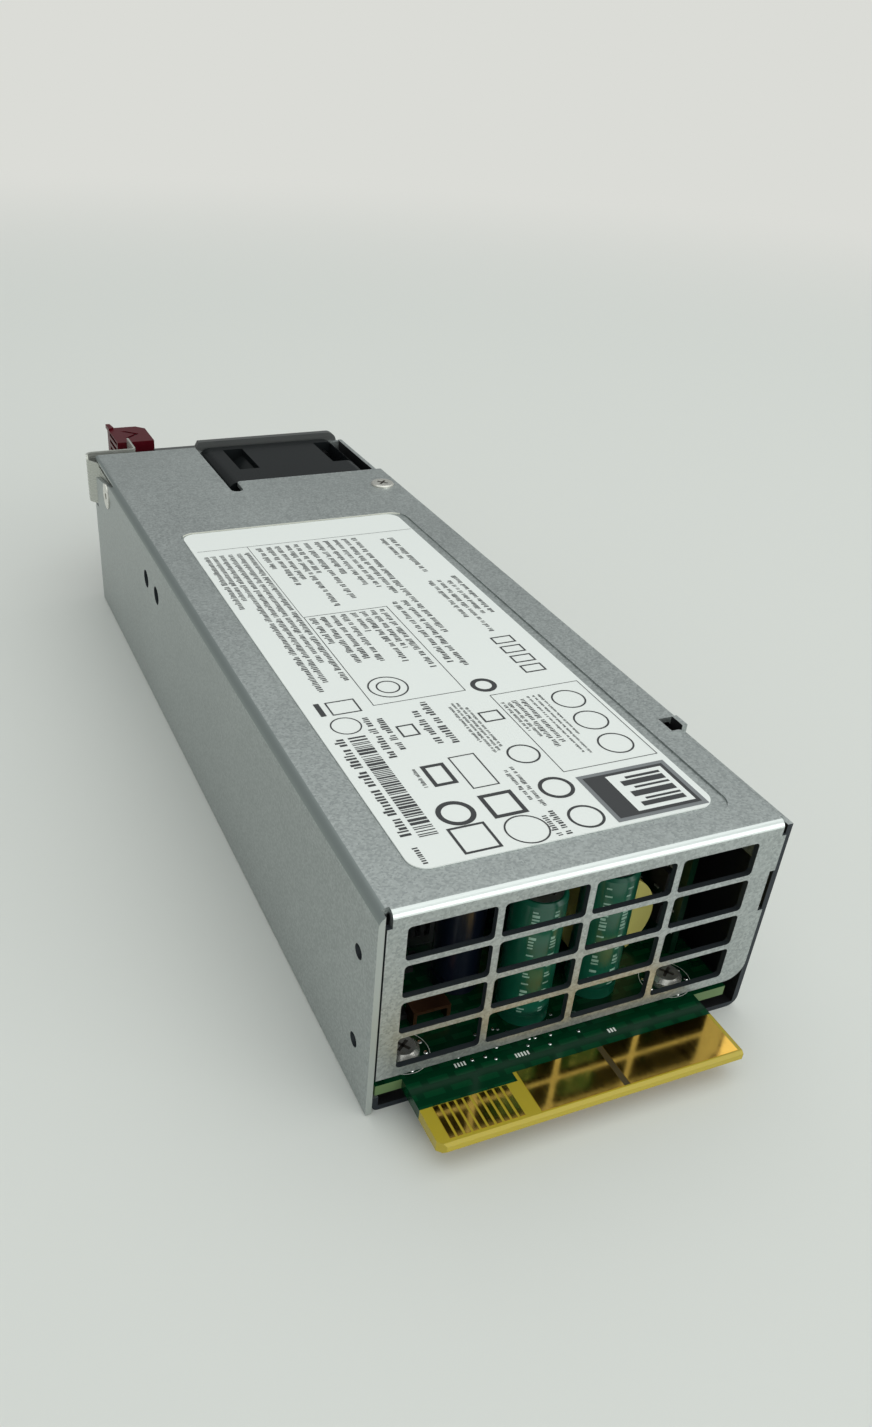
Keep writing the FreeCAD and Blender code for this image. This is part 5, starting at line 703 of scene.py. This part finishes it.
RECESS_LIFT = 0.00002
RECESS_WIDTH = 0.10                 # half the strip's width, as a share of its length
BOARD_CROSS = ((0.8, 0.6, 0), (-0.6, 0.8, 0))
BOARD_CROSS_LENGTH = 0.0026
COVER_CROSS = ((0.7, 0.714, 0), (-0.714, 0.7, 0))
COVER_CROSS_LENGTH = 0.0028
ZINC_BRIGHT = new_material("zinc_bright", srgb(220, 218, 210), roughness=0.26, metallic=0.8)
dress(["board_standoffs", "board_screws", "cover_screw", "latch_rivet", "handle_screws"],
      ZINC_BRIGHT)
# painted shade for the cross recesses in the screws and the vent crosses on the cans
RECESS_SHADE = new_material("screw_recess", srgb(64, 60, 54), roughness=0.6, metallic=0.4)


def cross_recess(mesh, centre, directions, length):
    """Two dark strips crossed on a flat top, painted shade for a sunk cross."""
    across, along = Vector(directions[0]), Vector(directions[1])
    lift = across.cross(along) * RECESS_LIFT
    for first, second in ((across, along), (along, across)):
        corners = [Vector(centre) + lift + first * far * length / 2
                   + second * side * length * RECESS_WIDTH
                   for far, side in ((-1, -1), (1, -1), (1, 1), (-1, 1))]
        mesh.faces.new([mesh.verts.new(corner) for corner in corners])


board_screw_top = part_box("board_screws")[1].z
cover_screw_low, cover_screw_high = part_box("cover_screw")
cover_screw_middle = (cover_screw_low + cover_screw_high) / 2
recesses = bmesh.new()
for x in SCREW_X:
    for setback in SCREW_SETBACKS:
        cross_recess(recesses, (x, FACE - setback, board_screw_top), BOARD_CROSS,
                     BOARD_CROSS_LENGTH)
cross_recess(recesses, (cover_screw_middle.x, cover_screw_middle.y, cover_screw_high.z),
             COVER_CROSS, COVER_CROSS_LENGTH)
new_piece("screw_recesses", recesses, RECESS_SHADE)


# ---- Insulating film ---------------------------------------------------------------------------
# Black plastic film laid on the tray floor and against the left wall keeps the live underside of
# the board and its parts off the metal.

FILM_BLACK = new_material("insulator_film", srgb(26, 27, 28), roughness=0.5)
dress(["floor_insulator", "wall_insulator"], FILM_BLACK)


# ---- Electrolytic capacitors -------------------------------------------------------------------
# Drawn aluminium cans in a shrink sleeve, with a bare top that has a pressed vent cross.  The
# sleeves of the two front cans carry columns of short pale strokes.

OUTPUT_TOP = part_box("output_capacitors")[1].z
FILTER_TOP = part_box("filter_capacitors")[1].z
# the two output cans in front, then the two filter cans: x, y, radius, top
CANS = [(0.0042, FACE - 0.0079, 0.0043, OUTPUT_TOP), (-0.0096, FACE - 0.0094, 0.0043, OUTPUT_TOP),
        (-0.0028, FACE - 0.0176, 0.0040, FILTER_TOP), (*CAN_FOOT, 0.0040, FILTER_TOP)]
MARKED_CANS = 2                     # only the front ones
SLEEVE_ROLL = 0.0008                # the sleeve rolls over the rim of the can by this much
TOP_LIFT = 0.00002                  # the bare top lies this much over the can
VENT_LIFT = 0.00003
VENT_SHARE = 1.1                    # length of the vent's strips, as a share of the radius
MARK_COLUMNS = (0.95, 1.75)         # where they stand round the can, radians
MARK_REACH = 0.13                   # half a long stroke, radians
MARK_SHORT = 0.06
MARK_STEPS = 3
MARK_HEIGHTS = (0.0003, 0.0003, 0.0005)
MARK_GAPS = (0.0003, 0.0003, 0.0012)
MARK_FOOT = BOARD_TOP + 0.0030
MARK_HEAD = 0.0016                  # the columns end this much below the top


def sleeve_material(name, colour):
    """Glossy shrink sleeve."""
    material = new_material(name, colour, roughness=0.28)
    shader = shader_of(material)
    shader.inputs["Coat Weight"].default_value = 0.35
    shader.inputs["Coat Roughness"].default_value = 0.12
    return material


def sleeve_stroke(mesh, can, first, last, low, high):
    """A short pale stroke that follows the can's side."""
    x, y, radius, _ = can
    levels = []
    for level in (low, high):
        levels.append([])
        for k in range(MARK_STEPS + 1):
            angle = first + (last - first) * k / MARK_STEPS
            reach = radius + PRINT_LAYER
            levels[-1].append(mesh.verts.new((x + math.cos(angle) * reach,
                                              y + math.sin(angle) * reach, level)))
    under, over = levels
    for k in range(MARK_STEPS):
        mesh.faces.new([under[k], under[k + 1], over[k + 1], over[k]])


dress(["output_capacitors"], sleeve_material("sleeve_green", srgb(12, 84, 62)))
dress(["filter_capacitors"], sleeve_material("sleeve_blue", srgb(14, 20, 34)))
dress(["bulk_capacitor"], sleeve_material("sleeve_dark", srgb(34, 34, 38)))
can_tops = bmesh.new()
vents = bmesh.new()
for x, y, radius, top in CANS:
    disc = bmesh.ops.create_circle(can_tops, cap_ends=True, radius=radius - SLEEVE_ROLL,
                                   segments=32)
    for vert in disc["verts"]:
        vert.co += Vector((x, y, top + TOP_LIFT))
    cross_recess(vents, (x, y, top + VENT_LIFT), BOARD_CROSS, radius * VENT_SHARE)
can_marks = bmesh.new()
for number, can in enumerate(CANS[:MARKED_CANS]):
    chance = random.Random(40 + number)
    base = MARK_FOOT
    while base < can[3] - MARK_HEAD:
        tall = chance.choice(MARK_HEIGHTS)
        for facing in MARK_COLUMNS:
            sleeve_stroke(can_marks, can, facing - MARK_REACH,
                          facing + chance.choice((MARK_REACH, MARK_REACH, MARK_SHORT)),
                          base, base + tall)
        base += tall + chance.choice(MARK_GAPS)
CAN_TOP = new_material("can_top", srgb(206, 208, 208), roughness=0.3, metallic=1.0)
SLEEVE_MARK = new_material("sleeve_mark", srgb(142, 178, 160), roughness=0.4)
new_piece("can_tops", can_tops, CAN_TOP)
# the vent crosses are dark strips of painted shade, like the screws' cross recesses
new_piece("can_vents", vents, RECESS_SHADE)
new_piece("can_marks", can_marks, SLEEVE_MARK)


# ---- Chokes ------------------------------------------------------------------------------------
# The output choke is a lacquered powder core whose turns are wrapped over with yellow tape.  The
# line and boost chokes are enamelled copper wire wound bare on dark cores.

CORE_YELLOW = new_material("core_lacquer", srgb(206, 198, 112), roughness=0.42)
COPPER = new_material("copper_wire", srgb(196, 116, 66), roughness=0.28, metallic=1.0)
FERRITE = new_material("ferrite", srgb(46, 46, 50), roughness=0.45)
dress(["output_choke_core", "output_choke_winding"], CORE_YELLOW)
dress(["line_choke_cores", "pfc_choke_core"], FERRITE)
dress(["pfc_choke_winding", "line_choke_windings"], COPPER)


# ---- Current shunt -----------------------------------------------------------------------------
# A bridge of copper alloy strip, punched and bent, with both feet soldered into the board.  The
# drop across it tells the control chips how much current flows.

STRIP_COPPER = new_material("copper_strip", srgb(150, 104, 76), roughness=0.35, metallic=1.0)
dress(["current_shunt"], STRIP_COPPER)


# ---- Control board -----------------------------------------------------------------------------
# A small laminate board that stands on edge beside the right wall, with moulded chips.  Solder
# joints and tiny parts dot the side that faces inwards.

CONTROL_BOARD = new_material("control_board_mask", srgb(6, 40, 24), roughness=0.3)
dress(["control_board"], CONTROL_BOARD)
dress(["control_chips"], CHIP)
JOINT_COUNT = 90
JOINTS_BEHIND = (0.0010, 0.0200)    # from the board's front end
JOINTS_UP = (0.0015, 0.0265)
JOINT_SIZES = ((0.0003, 0.0003), (0.0003, 0.0003), (0.0009, 0.0003))
JOINT_HEIGHT = 0.0002
control_low, control_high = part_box("control_board")
joints = bmesh.new()
spots = random.Random(17)
for _ in range(JOINT_COUNT):
    y = control_high.y - spots.uniform(*JOINTS_BEHIND)
    z = control_low.z + spots.uniform(*JOINTS_UP)
    wide, tall = spots.choice(JOINT_SIZES)
    solid_box(joints, (control_high.x, control_high.x + JOINT_HEIGHT), (y, y + wide),
              (z, z + tall))
JOINT_TIN = new_material("joint_tin", srgb(150, 152, 144), roughness=0.4)
new_piece("control_joints", joints, JOINT_TIN)


# ---- Power semiconductors and heat sinks -------------------------------------------------------
# Transistors and bridge rectifier are chips moulded in black epoxy.  The transistors are clamped
# to plain extruded aluminium that stands in the air stream.

dress(["power_transistors", "bridge_rectifier"], CHIP)
ALUMINIUM = new_material("plain_aluminium", srgb(196, 198, 200), roughness=0.35, metallic=1.0)
dress(["secondary_heatsink", "primary_heatsink"], ALUMINIUM)


# ---- Transformer -------------------------------------------------------------------------------
# Two pressed ferrite halves closed round a coil former, with the winding wrapped in yellow
# polyester tape.

dress(["transformer_core"], FERRITE)
TAPE = new_material("polyester_tape", srgb(214, 184, 60), roughness=0.32)
dress(["transformer_winding"], TAPE)


# ---- Line filter, inrush and fuse parts --------------------------------------------------------
# Bought parts soldered to the board near the inlet: film capacitors in yellow plastic boxes, blue
# dipped discs, a dark relay, and a ceramic thermistor and fuse.

FILM_CASE = new_material("film_case", srgb(214, 200, 96), roughness=0.4)
dress(["line_capacitors"], FILM_CASE)
DISC_BLUE = new_material("disc_blue", srgb(52, 104, 168), roughness=0.3)
dress(["disc_capacitors"], DISC_BLUE)
RELAY = new_material("relay_plastic", srgb(52, 54, 58), roughness=0.4)
dress(["inrush_relay"], RELAY)
dress(["inrush_thermistor", "line_fuse"], CERAMIC)


# ---- Leads -------------------------------------------------------------------------------------
# The fan's wires run in one black sleeve to a white nylon plug.  Stiff insulated leads join the
# inlet's blades to the board.

PLUG_WHITE = new_material("plug_white", srgb(222, 218, 206), roughness=0.45)
dress(["fan_plug"], PLUG_WHITE)
LEAD_BLACK = new_material("lead_black", srgb(28, 28, 29), roughness=0.5)
dress(["fan_lead", "line_leads"], LEAD_BLACK)


# ---- Fan ---------------------------------------------------------------------------------------
# Frame and impeller are glass filled plastic with the gloss of a polished mould.  The steel shaft
# turns in a bronze sleeve inside a copper wound stator.

TEXTURE_SCALE = 2200.0
TEXTURE_DEPTH = 0.00005


def moulded_material(name, colour, roughness, texture, gloss=0.5):
    """Moulded plastic: how strong its texture is, and its gloss as the specular level."""
    material = new_material(name, colour, roughness)
    shader = shader_of(material)
    shader.inputs["Specular IOR Level"].default_value = gloss
    tree = material.node_tree
    waves = use_group(tree, FINE_WAVES, {"Scale": TEXTURE_SCALE})
    add_bump(tree, shader, waves["Height"], texture, TEXTURE_DEPTH)
    return material


dress(["fan_frame", "fan_impeller"],
      moulded_material("fan_black", srgb(24, 27, 28), roughness=0.26, texture=0.05,
                       gloss=0.09))
BRONZE = new_material("bearing_bronze", srgb(150, 122, 82), roughness=0.45, metallic=1.0)
dress(["fan_bearing"], BRONZE)
dress(["fan_stator"], COPPER)
SCREW_BLACK = new_material("screw_black", srgb(36, 37, 38), roughness=0.35, metallic=0.6)
dress(["fan_screws"], SCREW_BLACK)


# ---- Bezel and handle --------------------------------------------------------------------------
# Dark grey mouldings with a fine matt texture.  The bezel carries the fan guard and lies on the
# operator panel; the handle is screwed on through it.

dress(["rear_bezel", "pull_handle"],
      moulded_material("bezel_black", srgb(70, 72, 71), roughness=0.38, texture=0.20))


# ---- AC inlet ----------------------------------------------------------------------------------
# A black moulded socket pushed into the operator panel from outside.  Its three blades are
# punched from brass and nickel plated, and their tails reach in to the line leads.

dress(["ac_inlet_housing"],
      moulded_material("inlet_black", srgb(34, 35, 36), roughness=0.36, texture=0.10))
NICKEL = new_material("blade_nickel", srgb(204, 200, 188), roughness=0.22, metallic=1.0)
dress(["inlet_blades"], NICKEL)


# ---- Status light ------------------------------------------------------------------------------
# A clear moulded acrylic pipe brings the light of a green lamp, soldered to the board, out
# through the operator panel.

LIGHT = new_material("light_pipe_clear", srgb(226, 236, 230), roughness=0.15)
shader_of(LIGHT).inputs["Transmission Weight"].default_value = 0.7
dress(["light_pipe"], LIGHT)
LAMP = new_material("lamp_green", srgb(120, 180, 130), roughness=0.3)
dress(["status_led"], LAMP)


# ---- Latch -------------------------------------------------------------------------------------
# Rolled spring steel strip, blanked and bent and riveted to the left wall, with a burgundy
# moulded tab pushed on.  The fan's shaft has the same drawn finish.

ARROW_DEPTH = 0.0009                # of the arrow sunk in the tab's top
ARROW_SLACK = 0.0002
dress(["latch_spring", "fan_shaft"],
      lined_metal("spring_steel", srgb(182, 184, 176), roughness=0.30, metallic=0.45, lines={
          "Stretch": (90.0, 90.0, 3200.0), "Detail": 2.0, "Low": 0.18, "High": 0.36}))
dress(["release_tab"],
      moulded_material("tab_burgundy", srgb(78, 8, 20), roughness=0.34, texture=0.10,
                       gloss=0.18))
arrow_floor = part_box("release_tab")[1].z - ARROW_DEPTH


def sunk_arrow(centre, normal):
    """The floor of the sunk arrow: dull, and darkened with painted shade."""
    return normal.z > SQUARE and abs(centre.z - arrow_floor) < ARROW_SLACK


# painted shade on the floor of the sunk arrow
ARROW_SHADE = new_material("tab_mark", srgb(40, 6, 12), roughness=0.6)
mark_faces("release_tab", ARROW_SHADE, sunk_arrow)


# ---- Table -------------------------------------------------------------------------------------
# A round, matt, pale table top.  Towards its rim it passes into the plain colour of the backdrop,
# so that no horizon shows.

TABLE_COLOUR = srgb(219, 221, 216)
BACKDROP_COLOUR = srgb(219, 220, 215)
TABLE_RADIUS = 1.05
TABLE_DROP = 0.00002                # below the tray
FADE = (0.40, 1.00)                 # from here to here it passes into the backdrop's colour


def table_material():
    """Matt white that passes into the backdrop's plain colour towards the rim."""
    material = new_material("table_white", TABLE_COLOUR, roughness=0.7)
    shader = shader_of(material)
    tree = material.node_tree
    reach = tree.nodes.new("ShaderNodeVectorMath")
    reach.operation = "LENGTH"
    feed(tree, reach.inputs[0], place_on_piece(tree))
    far = tree.nodes.new("ShaderNodeMapRange")
    far.interpolation_type = "SMOOTHSTEP"
    for name, value in (("From Min", FADE[0]), ("From Max", FADE[1]),
                        ("Value", reach.outputs["Value"])):
        feed(tree, far.inputs[name], value)
    rays = tree.nodes.new("ShaderNodeLightPath")
    seen = math_node(tree, "MULTIPLY", far.outputs["Result"], rays.outputs["Is Camera Ray"])
    plain = tree.nodes.new("ShaderNodeEmission")
    plain.inputs["Color"].default_value = BACKDROP_COLOUR
    blend = tree.nodes.new("ShaderNodeMixShader")
    feed(tree, blend.inputs["Fac"], seen)
    feed(tree, blend.inputs[1], shader.outputs["BSDF"])
    feed(tree, blend.inputs[2], plain.outputs["Emission"])
    feed(tree, tree.nodes["Material Output"].inputs["Surface"], blend.outputs["Shader"])
    return material


table_mesh = bmesh.new()
bmesh.ops.create_circle(table_mesh, cap_ends=True, radius=TABLE_RADIUS, segments=96,
                        matrix=Matrix.Translation((0, 0, -TABLE_DROP)))
table_data = bpy.data.meshes.new("table")
table_mesh.to_mesh(table_data)
table_mesh.free()
table_data.materials.append(table_material())
table = bpy.data.objects.new("table", table_data)
bpy.context.scene.collection.objects.link(table)


# ---- Light -------------------------------------------------------------------------------------
# A wide soft panel overhead, a smaller one in front, and even light from a sky that is a little
# brighter in front.  The camera sees the plain backdrop in place of the sky.

PANEL_COLOUR = (0.985, 1.0, 0.985)
FILL_COLOUR = (0.985, 1.0, 0.99)
SKY_COLOUR = (0.885, 0.925, 0.92, 1)
SKY_STRENGTH = 0.62
SKY_LEAN = 0.34                     # how much it gains towards the front, and loses behind


def area_light(name, place, target, size, power, colour):
    """A soft light panel, wide by tall, that faces a place."""
    data = bpy.data.lights.new(name, "AREA")
    data.shape = "RECTANGLE"
    data.size, data.size_y = size
    data.energy = power
    data.color = colour
    lamp = bpy.data.objects.new(name, data)
    bpy.context.scene.collection.objects.link(lamp)
    heading = Vector(target) - Vector(place)
    lamp.matrix_world = (Matrix.Translation(place)
                         @ heading.to_track_quat("-Z", "Y").to_matrix().to_4x4())


def sky_nodes(tree):
    """Plain light from all round, behind a backdrop that only the camera sees."""
    light = tree.nodes["Background"]
    light.inputs["Color"].default_value = SKY_COLOUR
    axes = tree.nodes.new("ShaderNodeSeparateXYZ")
    feed(tree, axes.inputs["Vector"],
         tree.nodes.new("ShaderNodeTexCoord").outputs["Generated"])
    strength = math_node(tree, "MULTIPLY_ADD", axes.outputs["Y"], SKY_LEAN, SKY_STRENGTH)
    feed(tree, light.inputs["Strength"], strength)
    seen = tree.nodes.new("ShaderNodeBackground")
    seen.inputs["Color"].default_value = BACKDROP_COLOUR
    rays = tree.nodes.new("ShaderNodeLightPath")
    direct = math_node(tree, "MAXIMUM", rays.outputs["Is Camera Ray"],
                       rays.outputs["Is Transmission Ray"])
    chosen = tree.nodes.new("ShaderNodeMixShader")
    feed(tree, chosen.inputs["Fac"], direct)
    feed(tree, chosen.inputs[1], light.outputs["Background"])
    feed(tree, chosen.inputs[2], seen.outputs["Background"])
    feed(tree, tree.nodes["World Output"].inputs["Surface"], chosen.outputs["Shader"])


area_light("overhead", place=(-0.25, -0.30, 1.25), target=(0, 0, 0), size=(1.9, 1.9),
           power=8.2, colour=PANEL_COLOUR)
area_light("front_fill", place=(-0.45, 1.00, 0.36), target=(0, 0.08, 0.02), size=(1.3, 0.65),
           power=4.6, colour=FILL_COLOUR)
world = bpy.data.worlds.new("studio")
bpy.context.scene.world = world
world.use_nodes = True
sky_nodes(world.node_tree)


# ---- Camera ------------------------------------------------------------------------------------
# It stands in front of the connector end, above the case and to its left, and looks down along
# it.  The shift moves the case a little down and to the left in the upright frame.

CAMERA_PLACE = (0.08357, 0.19796, 0.13771)
CAMERA_RIGHT = Vector((-0.92389, 0.37961, 0.04823))
CAMERA_FORWARD = Vector((-0.33762, -0.74933, -0.56967))
camera_data = bpy.data.cameras.new("camera")
camera_data.sensor_width = 36.0
camera_data.lens = 28.698
camera_data.shift_x = 0.0486
camera_data.shift_y = 0.0573
camera_data.clip_start = 0.01
camera_data.clip_end = 20.0
camera = bpy.data.objects.new("camera", camera_data)
bpy.context.scene.collection.objects.link(camera)
camera_up = CAMERA_RIGHT.cross(CAMERA_FORWARD)
turn = Matrix((CAMERA_RIGHT, camera_up, -CAMERA_FORWARD)).transposed().to_4x4()
camera.matrix_world = Matrix.Translation(CAMERA_PLACE) @ turn
bpy.context.scene.camera = camera
bpy.context.scene.view_settings.view_transform = "Standard"
